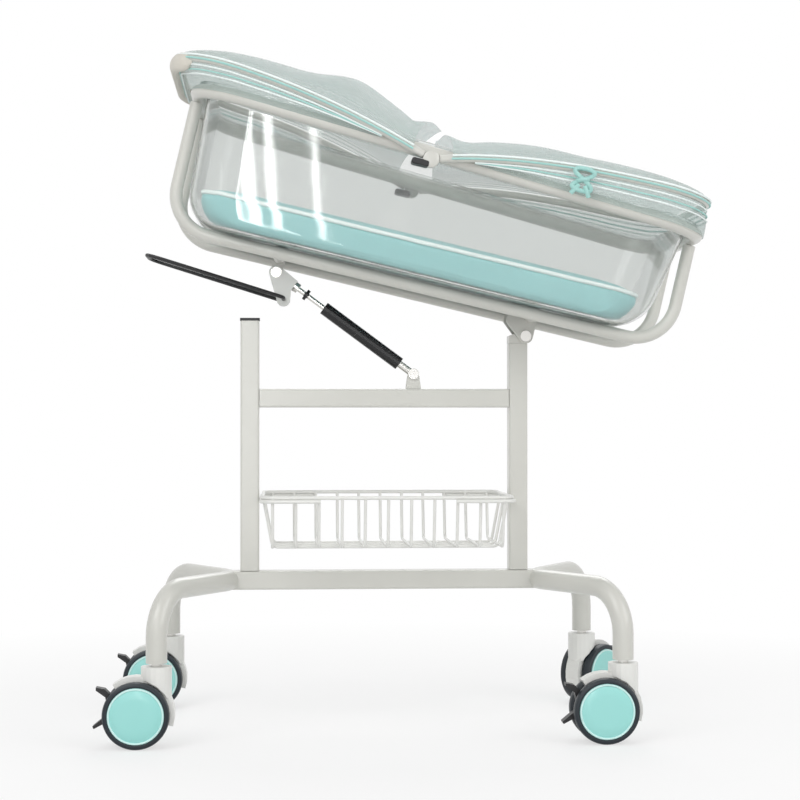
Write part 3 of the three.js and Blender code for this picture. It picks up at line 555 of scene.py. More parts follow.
def shell_faces(rows: int, columns: int) -> list[Sequence[int]]:
    """Faces of two like grids, one behind the other, closed round their edge.

    Args:
        rows: How many rows in each grid.
        columns: How many points in a row.

    Returns:
        Four vertex numbers for each face.
    """
    offset = rows * columns
    front = grid_faces(rows, columns, False)
    edge = list(range(columns)) + [r * columns + columns - 1 for r in range(1, rows)]
    edge += [(rows - 1) * columns + c for c in range(columns - 2, -1, -1)]
    edge += [r * columns for r in range(rows - 2, 0, -1)]
    faces: list[Sequence[int]] = list(front)
    faces += [tuple(i + offset for i in reversed(face)) for face in front]
    faces += [(b, a, a + offset, b + offset) for a, b in zip(edge, edge[1:] + edge[:1])]
    return faces


def lofted(name: str, rings: Sequence[Sequence[Vector]], material: Any) -> Any:
    """A closed piece through rings of points, with its two ends capped.

    Args:
        name: The piece's name.
        rings: Rings with the same number of points.
        material: Its finish.

    Returns:
        The Blender object.
    """
    columns = len(rings[0])
    points = [p for ring in rings for p in ring]
    faces: list[Sequence[int]] = list(grid_faces(len(rings), columns, True))
    for start in (0, (len(rings) - 1) * columns):
        points.append(sum((points[start + i] for i in range(columns)), Vector()) / columns)
        faces.extend((len(points) - 1, start + i, start + (i + 1) % columns) for i in range(columns))
    uvs = [(p.x, p.y + p.z) for p in points]
    return mesh_object(name, points, faces, material, uvs)


def turned(name: str, profile: Plan, spot: Callable[[float, float, float], Vector], segments: int,
           material: Any) -> Any:
    """A closed piece of a profile turned about an axis along y.

    Args:
        name: The piece's name.
        profile: Radius and y of each ring.
        spot: Places x, y and z about the axis, in metres.
        segments: Points in each ring.
        material: Its finish.

    Returns:
        The Blender object.
    """
    angles = [2 * math.pi * k / segments for k in range(segments)]
    rings = [[spot(radius * math.cos(a), y, radius * math.sin(a)) for a in angles] for radius, y in profile]
    return lofted(name, rings, material)


def bent(corners: Sequence[Point], bends: Sequence[float], steps: int) -> list[Vector]:
    """Points of a path with its corners rounded.

    Args:
        corners: Corners in millimetres.
        bends: A radius for each inner corner.
        steps: Points in each bend.

    Returns:
        The path in millimetres.
    """
    spots = [Vector(c) for c in corners]
    path = [spots[0]]
    for before, corner, after, radius in zip(spots, spots[1:], spots[2:], bends):
        arriving = (corner - before).normalized()
        leaving = (after - corner).normalized()
        turn = arriving.angle(leaving)
        inward = (leaving - arriving * arriving.dot(leaving)).normalized()
        start = corner - arriving * radius * math.tan(turn / 2)
        for k in range(steps + 1):
            angle = turn * k / steps
            ahead = arriving * radius * math.sin(angle)
            path.append(start + ahead + inward * radius * (1 - math.cos(angle)))
    path.append(spots[-1])
    return path


def settle(piece: Any) -> None:
    """Applies a piece's modifiers to its mesh.

    Args:
        piece: The object.
    """
    graph = bpy.context.evaluated_depsgraph_get()
    made = bpy.data.meshes.new_from_object(piece.evaluated_get(graph))
    piece.modifiers.clear()
    piece.data = made


@dataclass(frozen=True)
class Swelling:
    """How a closed pad swells in a cloth simulation, in metres."""

    voxel: float = 0.006
    cap: float = 0.004
    pressure: float = 4.0
    quality: int = 5
    frames: int = 20

    def apply(self, piece: Any, hold: Callable[[Vector], Vector]) -> None:
        """Swells a pad and applies the result to its mesh.

        Args:
            piece: The pad.
            hold: Puts a moved point back where something carries it.
        """
        scene = bpy.context.scene
        even = piece.modifiers.new("even", "REMESH")
        even.mode = "VOXEL"
        even.voxel_size = self.voxel
        even.use_smooth_shade = True
        settle(piece)
        start = [v.co.copy() for v in piece.data.vertices]
        cloth = piece.modifiers.new("cloth", "CLOTH")
        cloth.settings.quality = self.quality
        cloth.settings.use_pressure = True
        cloth.settings.uniform_pressure_force = self.pressure
        cloth.settings.effector_weights.gravity = 0.0
        cloth.point_cache.frame_start = 1
        cloth.point_cache.frame_end = self.frames
        for number in range(1, self.frames + 1):
            scene.frame_set(number)
        settle(piece)
        scene.frame_set(1)
        for vertex, before in zip(piece.data.vertices, start):
            move = vertex.co - before
            if move.length > self.cap:
                move *= self.cap / move.length
            vertex.co = hold(before + move)
        smooth = piece.modifiers.new("smooth", "SUBSURF")
        smooth.levels = smooth.render_levels = 1
        settle(piece)


class TubeTree:
    """Geometry Nodes that sweep a round section along curves."""

    def __init__(self) -> None:
        """Builds the tree with inputs for radius, sides and finish."""
        tree = bpy.data.node_groups.new("round_tube", "GeometryNodeTree")
        face = tree.interface
        face.new_socket("Geometry", in_out="INPUT", socket_type="NodeSocketGeometry")
        self.radius = face.new_socket("Radius", in_out="INPUT", socket_type="NodeSocketFloat").identifier
        self.sides = face.new_socket("Sides", in_out="INPUT", socket_type="NodeSocketInt").identifier
        self.finish = face.new_socket("Finish", in_out="INPUT", socket_type="NodeSocketMaterial").identifier
        face.new_socket("Geometry", in_out="OUTPUT", socket_type="NodeSocketGeometry")
        into = tree.nodes.new("NodeGroupInput")
        out = tree.nodes.new("NodeGroupOutput")
        circle = tree.nodes.new("GeometryNodeCurvePrimitiveCircle")
        sweep = tree.nodes.new("GeometryNodeCurveToMesh")
        sweep.inputs["Fill Caps"].default_value = True
        smooth = tree.nodes.new("GeometryNodeSetShadeSmooth")
        real = tree.nodes.new("GeometryNodeRealizeInstances")
        paint = tree.nodes.new("GeometryNodeSetMaterial")
        link = tree.links.new
        link(into.outputs["Radius"], circle.inputs["Radius"])
        link(into.outputs["Sides"], circle.inputs["Resolution"])
        link(into.outputs["Geometry"], sweep.inputs["Curve"])
        link(circle.outputs["Curve"], sweep.inputs["Profile Curve"])
        link(sweep.outputs["Mesh"], smooth.inputs["Geometry"])
        link(smooth.outputs["Geometry"], real.inputs["Geometry"])
        link(real.outputs["Geometry"], paint.inputs["Geometry"])
        link(into.outputs["Finish"], paint.inputs["Material"])
        link(paint.outputs["Geometry"], out.inputs["Geometry"])
        self.tree = tree

    def sweep(self, name: str, paths: Sequence[Route], radius: float, material: Any, sides: int) -> Any:
        """Makes one mesh of tubes along paths.

        Args:
            name: The piece's name.
            paths: Points in metres, and whether the path closes.
            radius: The tube's radius in metres.
            material: Its finish.
            sides: Sides of the round section.

        Returns:
            The Blender object.
        """
        curve = bpy.data.curves.new(name + "_path", "CURVE")
        curve.dimensions = "3D"
        for points, closed in paths:
            spline = curve.splines.new("POLY")
            spline.points.add(len(points) - 1)
            for spot, p in zip(spline.points, points):
                spot.co = (*p, 1.0)
            spline.use_cyclic_u = closed
        source = bpy.data.objects.new(name + "_source", curve)
        bpy.context.collection.objects.link(source)
        modifier = source.modifiers.new("tube", "NODES")
        modifier.node_group = self.tree
        modifier[self.radius] = radius
        modifier[self.sides] = sides
        modifier[self.finish] = material
        graph = bpy.context.evaluated_depsgraph_get()
        mesh = bpy.data.meshes.new_from_object(source.evaluated_get(graph))
        bpy.data.objects.remove(source)
        mesh.name = name
        if not mesh.materials:
            mesh.materials.append(material)
        made = bpy.data.objects.new(name, mesh)
        bpy.context.collection.objects.link(made)
        return made


@dataclass
class Kit:
    """What every sub-assembly builds with."""

    frame: dict[str, Any]
    finish: Finishes
    tubes: TubeTree

    def keep(self, piece: Any, body: str, slot: str, *nodes: str) -> Any:
        """Rides a piece on a body and hides the nodes that it stands for.

        Args:
            piece: The new object.
            body: The CAD body.
            slot: The record's material slot; not used.
            nodes: CAD nodes that it replaces.

        Returns:
            The same object.
        """
        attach(piece, body)
        if nodes:
            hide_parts(*nodes)
        LOG.info("%s on %s", piece.name, body)
        return piece

    def paint(self, material: Any, *nodes: str) -> None:
        """Gives CAD nodes a finish.

        Args:
            material: The finish.
            nodes: The nodes' names.
        """
        for name in nodes:
            slots = self.frame["nodes"][name].data.materials
            slots.clear()
            slots.append(material)
            LOG.info("%s painted %s", name, material.name)


@dataclass
class BaseFrame:
    """Posts, bars, leg tubes and basket, in millimetres."""

    kit: Kit
    post_x: float = 215.25
    half_bar: float = 15.0
    bar_height: float = 231.5
    leg_radius: float = 16.0
    leg_bottom: float = 125.0
    stem_x: float = 351.5
    stem_y: float = 195.0
    drop_bend: float = 68.0
    apex_bend: float = 60.0
    seat: float = 0.3
    rim_height: float = 367.0
    basket_y: float = 122.0
    basket_depth: float = 77.0
    end_draw: float = 15.0
    side_draw: float = 17.0
    corner: float = 22.0
    ribs: int = 11
    lengthwise: int = 3
    hanger_reach: float = 92.0
    hanger_drop: float = 5.4
    wire: float = 3.0
    thin_wire: float = 2.4

    def build(self) -> None:
        """Builds and dresses the base."""
        finish = self.kit.finish
        self.kit.paint(finish.paint, "head_post", "foot_post", "lower_bar", "top_bar", "hinge_bracket",
                       "spring_bracket")
        self.kit.paint(finish.steel, "hinge_bolt", "spring_lower_pin")
        self.kit.paint(finish.black, "post_cap")
        sweep = self.kit.tubes.sweep
        for name, side in (("head_leg_tube", -1), ("foot_leg_tube", 1)):
            route = self.leg_route(side)
            tube = sweep(f"{name}_smooth", [route], self.leg_radius * MM, finish.paint, sides=32)
            self.kit.keep(tube, "base", "frame_paint", name)
        rim = sweep("basket_rim", self.thick_wires(), self.wire * MM, finish.white, sides=12)
        self.kit.keep(rim, "base", "frame_paint", "basket")
        ribs = sweep("basket_ribs", self.thin_wires(), self.thin_wire * MM, finish.white, sides=10)
        self.kit.keep(ribs, "base", "frame_paint")

    def leg_route(self, side: int) -> Route:
        """The route of one leg tube.

        Args:
            side: -1 at the head, 1 at the foot.

        Returns:
            Its centre line in metres, open.
        """
        touch = self.post_x + self.half_bar + self.leg_radius
        spread = math.atan2(self.stem_y, self.stem_x - touch)
        apex = side * (touch + self.seat - self.apex_bend * (1 / math.sin(spread) - 1))
        stem = side * self.stem_x
        corners = [
            (stem, -self.stem_y, self.leg_bottom), (stem, -self.stem_y, self.bar_height),
            (apex, 0.0, self.bar_height),
            (stem, self.stem_y, self.bar_height), (stem, self.stem_y, self.leg_bottom),
        ]
        path = bent(corners, (self.drop_bend, self.apex_bend, self.drop_bend), steps=16)
        return [p * MM for p in path], False

    @property
    def hanger_x(self) -> float:
        """Distance of a hanger's end wire from the middle."""
        return self.post_x - self.half_bar - self.seat - self.wire

    @property
    def end_x(self) -> float:
        """Distance of the basket rim's end from the middle."""
        return self.hanger_x - self.wire

    def thick_wires(self) -> list[Route]:
        """The basket's rim and the two hangers that hold it to the posts.

        Returns:
            Their routes in metres.
        """
        end, wide, high = self.end_x, self.basket_y, self.rim_height
        rim = bent([(0, -wide, high), (end, -wide, high), (end, wide, high), (-end, wide, high),
                    (-end, -wide, high), (0, -wide, high)], (self.corner,) * 4, steps=8)[:-1]
        routes: list[Route] = [([p * MM for p in rim], True)]
        out, height = wide + self.wire, high - self.hanger_drop
        for side in (-1, 1):
            far, near = side * self.hanger_x, side * (self.hanger_x - self.hanger_reach)
            hanger = bent([(near, -out, height), (far, -out, height), (far, out, height),
                           (near, out, height)], (self.corner,) * 2, steps=8)
            routes.append(([p * MM for p in hanger], False))
        return routes

    def thin_wires(self) -> list[Route]:
        """The basket's ribs and its lengthwise wires under them.

        Returns:
            Their routes in metres.
        """
        end, high = self.end_x, self.rim_height
        floor = high - self.basket_depth
        end_low = end - self.end_draw
        side_low = self.basket_y - self.side_draw
        paths = []
        for i in range(self.ribs):
            x = end_low * (2 * i / (self.ribs - 1) - 1)
            paths.append([(x, -self.basket_y, high), (x, -side_low, floor), (x, side_low, floor),
                          (x, self.basket_y, high)])
        low = floor - self.wire
        for i in range(self.lengthwise):
            y = side_low * (2 * (i + 1) / (self.lengthwise + 1) - 1)
            paths.append([(-end, y, high), (-end_low, y, low), (end_low, y, low), (end, y, high)])
        bends = (self.corner / 2,) * 2
        return [([p * MM for p in bent(path, bends, steps=6)], False) for path in paths]


@dataclass
class Caster:
    """One twin-wheel caster, in millimetres."""

    kit: Kit
    name: str
    stem_x: float
    stem_y: float
    swivel: float
    trail: float = 29.0
    radius: float = 50.0
    inner: float = 13.5
    outer: float = 31.5
    bore: float = 5.4
    cover_radius: float = 42.0
    cover_gap: float = 0.4
    cover_set: float = 2.2
    cover_middle: float = 24.0
    ring_set: float = 1.8
    ring_lift: float = 2.1
    ring_radius: float = 1.5
    segments: int = 72

    def spot(self, x: float, y: float, z: float) -> Vector:
        """A point about the axle, turned with the swivel, in metres."""
        turn = Matrix.Translation((self.stem_x, self.stem_y, 0)) @ Matrix.Rotation(self.swivel, 4, "Z")
        return turn @ Vector((x - self.trail, y, z + self.radius)) * MM

    def tyre_profile(self) -> Plan:
        """The tyre's section with its rounded tread and the recess for the cover.

        Returns:
            Radius and distance out along the axle.
        """
        r, near, far = self.radius, self.inner, self.outer
        recess = self.cover_radius + self.cover_gap
        tread = [(r - 5, near), (r - 1.4, near + 1.5), (r - 0.2, near + 4.5), (r, near + 9),
                 (r - 0.2, far - 4.5), (r - 1.4, far - 1.6), (r - 4, far - 0.2), (r - 6.4, far)]
        return [(self.bore, near), *tread, (recess, far - 0.6), (recess, far - 2.5), (self.bore, far - 2.5)]

    def cover_profile(self) -> Plan:
        """The cover's section, with a rounded edge and a groove inside it.

        Returns:
            Radius and distance out along the axle.
        """
        c, back = self.cover_radius, self.outer - self.cover_set
        edge = [(c, back), (c, back + 1.6), (c - 0.8, back + 2.5), (c - 2.6, back + 2.8)]
        groove = [(c - 3.4, back + 2.2), (c - 4.2, back + 2.2), (c - 5, back + 2.7)]
        return [(0.5, back), *edge, *groove, (self.cover_middle, back + 3), (0.5, back + 3)]

    def build(self) -> None:
        """Builds and dresses the caster."""
        finish = self.kit.finish
        self.kit.paint(finish.steel, f"{self.name}_stem")
        self.kit.paint(finish.white, f"{self.name}_housing")
        self.kit.paint(finish.black, f"{self.name}_brake_pedal")
        for which, side in (("outer", -1), ("inner", 1)):
            self.build_wheel(f"{self.name}_{which}", side)

    def build_wheel(self, body: str, side: int) -> None:
        """Builds one wheel: tyre, cover disc and a pale ring round the disc that is a painted highlight on
        the cover's bevelled edge.

        Args:
            body: The wheel's CAD body.
            side: -1 for the outer wheel, 1 for the inner.
        """
        finish = self.kit.finish
        tyre = [(radius, side * out) for radius, out in self.tyre_profile()]
        wheel = turned(f"{body}_tyre", tyre, self.spot, self.segments, finish.tyre)
        self.kit.keep(wheel, body, "tyre", f"{body}_wheel")
        cover = [(radius, side * out) for radius, out in self.cover_profile()]
        disc = turned(f"{body}_disc", cover, self.spot, self.segments, finish.teal)
        self.kit.keep(disc, body, "teal_plastic", f"{body}_cover")
        # Pale ring: painted highlight, a light-coloured tube laid where the cover's bevelled edge catches
        # the light.
        round_at, out = self.cover_radius - self.ring_set, self.outer - self.cover_set + self.ring_lift
        angles = [2 * math.pi * k / self.segments for k in range(self.segments)]
        edge = [self.spot(round_at * math.cos(a), side * out, round_at * math.sin(a)) for a in angles]
        ring = self.kit.tubes.sweep(f"{body}_ring", [(edge, True)], self.ring_radius * MM, finish.pale_ring,
                                    sides=8)
        self.kit.keep(ring, body, "teal_plastic")


@dataclass
class CotPlace:
    """The cot's own axes, in millimetres from the hinge pin, with the rim and the hoods' hubs in them.

    x runs along the rails toward the foot, and z stands square to the rails.
    """

    pivot_x: float = 226.25
    pivot_z: float = 621.6
    tilt: float = math.radians(13.2)
    head: float = -591.0
    foot: float = 213.0
    rim_head: float = 241.0
    rim_foot: float = 206.0
    rim_radius: float = 11.0
    rim_half: float = 183.0
    rim_corner: float = 75.0
    hub_x: float = -222.0
    hub_drop: float = 12.0

    def at(self, x: float, y: float, z: float) -> Vector:
        """A cot point in the row frame.

        Args:
            x: Along the rails.
            y: Across.
            z: Square to the rails.

        Returns:
            The point in metres.
        """
        c, s = math.cos(self.tilt), math.sin(self.tilt)
        return Vector((self.pivot_x + x * c + z * s, y, self.pivot_z - x * s + z * c)) * MM

    def local(self, spot: Vector) -> Vector:
        """A row-frame point in the cot's axes.

        Args:
            spot: The point in metres.

        Returns:
            The point in millimetres.
        """
        c, s = math.cos(self.tilt), math.sin(self.tilt)
        x, z = spot.x / MM - self.pivot_x, spot.z / MM - self.pivot_z
        return Vector((x * c - z * s, spot.y / MM, x * s + z * c))

    def rim(self, x: float) -> float:
        """Height of the rim tube's centre at x."""
        return self.rim_head + (x - self.head) * (self.rim_foot - self.rim_head) / (self.foot - self.head)

    @property
    def hub_z(self) -> float:
        """Height of the hubs that the hoods turn on."""
        return self.rim(self.hub_x) - self.hub_drop


def rounded_outline(head: float, foot: float, half: float, corner: float, steps: int,
                    along: int = 30, across: int = 10) -> Plan:
    """A rounded rectangle in plan.

    Args:
        head: Lowest x.
        foot: Highest x.
        half: Half the width.
        corner: Corner radius.
        steps: Points in each corner.
        along: Points inside each long side.
        across: Points inside each end.

    Returns:
        Points round the outline, always the same number.
    """
    arcs = []
    for k, (sx, sy) in enumerate(((1, 1), (-1, 1), (-1, -1), (1, -1))):
        x = (foot - corner) if sx > 0 else (head + corner)
        y = sy * (half - corner)
        turns = [(k + i / steps) * math.pi / 2 for i in range(steps + 1)]
        arcs.append([(x + corner * math.cos(a), y + corner * math.sin(a)) for a in turns])
    points = []
    for k, arc in enumerate(arcs):
        points.extend(arc)
        (ax, ay), (bx, by) = arc[-1], arcs[(k + 1) % 4][0]
        count = across if k % 2 else along
        points.extend((ax + (bx - ax) * j / (count + 1), ay + (by - ay) * j / (count + 1))
                      for j in range(1, count + 1))
    return points


def edge_inset(radius: float, height: float) -> float:
    """How far a rounded bottom edge stands in at a height."""
    rest = max(radius - height, 0.0)
    return radius - math.sqrt(radius * radius - rest * rest)


@dataclass
class Cot:
    """Rails, rim, clips, tub and mattress, in millimetres of the cot's own axes."""

    kit: Kit
    place: CotPlace
    rail_y: float = 85.0
    rail_z: float = 32.0
    rail_radius: float = 10.0
    rail_bend: float = 65.0
    seat: float = 0.3
    side_gap: float = 4.0
    wall: float = 4.0
    head_taper: float = 10.0
    foot_taper: float = 34.0
    side_taper: float = 18.0
    tub_corner: float = 55.0
    end_round: float = 50.0
    side_round: float = 14.0
    floor_shares: tuple[float, ...] = (0, 0.03, 0.08, 0.16, 0.28, 0.42, 0.6, 0.8, 1)
    flange: float = 15.0
    corner_steps: int = 10
    pad_gap: float = 5.0
    pad_height: float = 54.0
    pad_crown: float = 9.0
    pad_round: float = 14.0
    pad_draw: float = 3.0
    pad_levels: tuple[float, ...] = (0, 2, 6, 12, 20, 30)
    pad_turns: tuple[float, ...] = (0, 20, 40, 60, 78)
    crown_rings: int = 12
    crown_inset: float = 116.0
    swell_room: float = 2.0
    piping_at: float = 0.3
    piping_radius: float = 3.4
    piping_proud: float = 0.7
    clip_head: float = -250.0
    clip_foot: float = -223.0
    clip_half: float = 4.8
    clip_z: float = 205.0
    clip_inner: float = 186.0
    clip_outer: float = 211.0
    clip_corner: float = 3.4
    clip_bevel: float = 1.6
    hub_radius: float = 12.4
    hub_inner: float = 195.0
    hub_outer: float = 210.4
    hub_segments: int = 40

    def build(self) -> None:
        """Builds and dresses the cot."""
        finish = self.kit.finish
        self.kit.paint(finish.paint, "head_cross_tube", "foot_cross_tube")
        self.kit.paint(finish.steel, "spring_upper_pin")
        self.build_rails()
        for name, side in (("near_clip", -1), ("far_clip", 1)):
            self.build_clip(name, side)
        self.build_tub()
        self.build_mattress()

    def build_clip(self, name: str, side: int) -> None:
        """Builds one side clip: a black block under the rim and the hub that carries the bows.

        Args:
            name: The CAD node's name.
            side: -1 near, 1 far.
        """
        p, bevel = self.place, self.clip_bevel
        rings = []
        for y, inset in ((self.clip_inner, bevel), (self.clip_inner + bevel, 0.0),
                         (self.clip_outer - bevel, 0.0), (self.clip_outer, bevel)):
            outline = rounded_outline(
                self.clip_head + inset, self.clip_foot - inset, self.clip_half - inset,
                self.clip_corner - inset, steps=4, along=2, across=2)
            rings.append([p.at(x, side * y, self.clip_z + z) for x, z in outline])
        block = lofted(f"{name}_block", rings, self.kit.finish.black)
        self.kit.keep(block, "cot", "black_plastic", name)
        r, near, far = self.hub_radius, self.hub_inner, self.hub_outer
        profile = [(r - 1.9, near), (r, near + 1), (r, far - 1.8), (r - 2.2, far - 0.4), (3.0, far)]

        def spot(x: float, y: float, z: float) -> Vector:
            """A point about the hub's axis."""
            return p.at(p.hub_x + x, side * y, p.hub_z + z)

        hub = turned(f"{name}_hub", profile, spot, self.hub_segments, self.kit.finish.paint)
        self.kit.keep(hub, "cot", "frame_paint")

    def build_rails(self) -> None:
        """Builds the two rails and the rim as smooth tubes."""
        p = self.place
        paint = self.kit.finish.paint
        sweep = self.kit.tubes.sweep
        top = p.rim_radius + self.seat
        for name, y in (("near_rail", -self.rail_y), ("far_rail", self.rail_y)):
            route = bent([(p.head, y, p.rim_head - top), (p.head, y, self.rail_z), (p.foot, y, self.rail_z),
                          (p.foot, y, p.rim_foot - top)], (self.rail_bend,) * 2, steps=16)
            path = ([p.at(*spot) for spot in route], False)
            tube = sweep(f"{name}_smooth", [path], self.rail_radius * MM, paint, sides=28)
            self.kit.keep(tube, "cot", "frame_paint", name)
        outline = rounded_outline(p.head, p.foot, p.rim_half, p.rim_corner, steps=14)
        path = ([p.at(x, y, p.rim(x)) for x, y in outline], True)
        ring = sweep("rim_smooth", [path], p.rim_radius * MM, paint, sides=28)
        self.kit.keep(ring, "cot", "frame_paint", "rim_tube")

    def tub_ring(self, inset: float, ends: float, sides: float, taper: float,
                 height: Callable[[float], float]) -> list[Vector]:
        """One ring of the tub.

        Args:
            inset: Distance inside the outer face.
            ends: Further inset of the two ends.
            sides: Further inset of the two sides.
            taper: Share of the taper, 1 at the floor.
            height: Height at an x.

        Returns:
            The ring in metres.
        """
        p = self.place
        reach = p.rim_radius + self.side_gap + inset
        outline = rounded_outline(
            p.head + reach + ends + self.head_taper * taper,
            p.foot - reach - ends - self.foot_taper * taper,
            p.rim_half - reach - sides - self.side_taper * taper,
            self.tub_corner - inset, self.corner_steps)
        return [p.at(x, y, height(x)) for x, y in outline]

    def build_tub(self) -> None:
        """Builds the clear tub with its flange."""
        p = self.place
        floor = self.rail_z + self.rail_radius + self.seat
        levels = [self.end_round * share for share in self.floor_shares]

        def level(inset: float, height: float) -> list[Vector]:
            """A ring of the rounded floor.

            Args:
                inset: Distance inside the outer face.
                height: Height above that face's floor.

            Returns:
                The ring in metres.
            """
            ends = edge_inset(self.end_round - inset, height)
            sides = edge_inset(self.side_round - inset, height)
            taper = 1 - height / (p.rim_foot - floor)
            return self.tub_ring(inset, ends, sides, taper, lambda x: floor + inset + height)

        def brim(inset: float, lift: float) -> list[Vector]:
            """A ring of the flange."""
            return self.tub_ring(inset, 0, 0, 0, lambda x: p.rim(x) + p.rim_radius + self.seat + lift)

        rings = [level(0, height) for height in levels]
        rings += [brim(0, 0), brim(-self.flange, 0)]
        rings += [brim(-self.flange, self.wall), brim(self.wall, self.wall)]
        rings += [level(self.wall, height) for height in reversed(levels)]
        tub = lofted("tub_clear", rings, self.kit.finish.clear)
        self.kit.keep(tub, "cot", "clear_acrylic", "tub")

    @property
    def pad_base(self) -> float:
        """Height of the mattress's underside."""
        return self.rail_z + self.rail_radius + 2 * self.seat + self.wall

    def pad_ring(self, ends: float, sides: float, height: float) -> list[Vector]:
        """One ring of the mattress, drawn in between its corners.

        Args:
            ends: Inset of the two ends.
            sides: Inset of the two sides.
            height: Height above the mattress's underside.

        Returns:
            The ring in metres.
        """
        p = self.place
        reach = p.rim_radius + self.side_gap + self.wall + self.pad_gap
        head, foot = p.head + reach + self.head_taper, p.foot - reach - self.foot_taper
        half_x, middle = (foot - head) / 2, (foot + head) / 2
        half_y = p.rim_half - reach - self.side_taper
        corner = self.tub_corner - self.wall
        ring = []
        for x, y in rounded_outline(-half_x, half_x, half_y, corner, self.corner_steps):
            along, across = x / half_x, y / half_y
            x -= self.pad_draw * along ** 3 * (1 - across * across)
            y -= self.pad_draw * across ** 3 * (1 - along * along)
            x *= 1 - ends / half_x
            y *= 1 - sides / half_y
            ring.append(p.at(middle + x, y, self.pad_base + height))
        return ring

    def pad_rings(self) -> list[list[Vector]]:
        """The mattress's rings, from its underside to the middle of its crown.

        Returns:
            The rings in metres.
        """
        rings = []
        for height in self.pad_levels:
            ends, sides = edge_inset(self.end_round, height), edge_inset(self.side_round, height)
            rings.append(self.pad_ring(ends, sides, height))
        for degrees in self.pad_turns:
            angle = math.radians(degrees)
            inset = self.pad_round * (1 - math.cos(angle))
            height = self.pad_height - self.pad_round * (1 - math.sin(angle))
            rings.append(self.pad_ring(inset, inset, height))
        for k in range(1, self.crown_rings):
            share = k / self.crown_rings
            inset = self.pad_round + share * self.crown_inset
            height = self.pad_height + self.pad_crown * (1 - (1 - share) ** 2)
            rings.append(self.pad_ring(inset, inset, height))
        return rings

    def build_mattress(self) -> None:
        """Builds the crowned mattress and its pale piping, which also serves as a painted highlight along
        the top edge.
        """
        pad = lofted("mattress_pad", self.pad_rings(), self.kit.finish.cloth)
        top = self.pad_base + self.pad_height + self.pad_crown + self.swell_room

        def hold(spot: Vector) -> Vector:
            """Keeps a point above the tub's floor and below the crown."""
            own = self.place.local(spot)
            return self.place.at(own.x, own.y, min(max(own.z, self.pad_base), top))

        Swelling().apply(pad, hold)
        self.kit.keep(pad, "cot", "teal_cloth", "mattress")
        tree = BVHTree.FromObject(pad, bpy.context.evaluated_depsgraph_get())
        # Pale piping along the top edge, whiter than the cloth partly as a painted highlight where the edge
        # catches the light.
        inset = self.pad_round * self.piping_at
        line = []
        for spot in self.pad_ring(inset, inset, self.pad_height - inset):
            near, normal, _, _ = tree.find_nearest(spot)
            line.append(near + normal * self.piping_radius * self.piping_proud * MM)
        piping_and_highlight = self.kit.tubes.sweep("mattress_piping", [(line, True)], self.piping_radius * MM,
                                      self.kit.finish.piping_and_highlight, sides=10)
        self.kit.keep(piping_and_highlight, "cot", "teal_cloth")


def bell(t: float, centre: float, spread: float) -> float:
    """A smooth hump of height 1 about a centre."""
    return math.exp(-(((t - centre) / spread) ** 2))


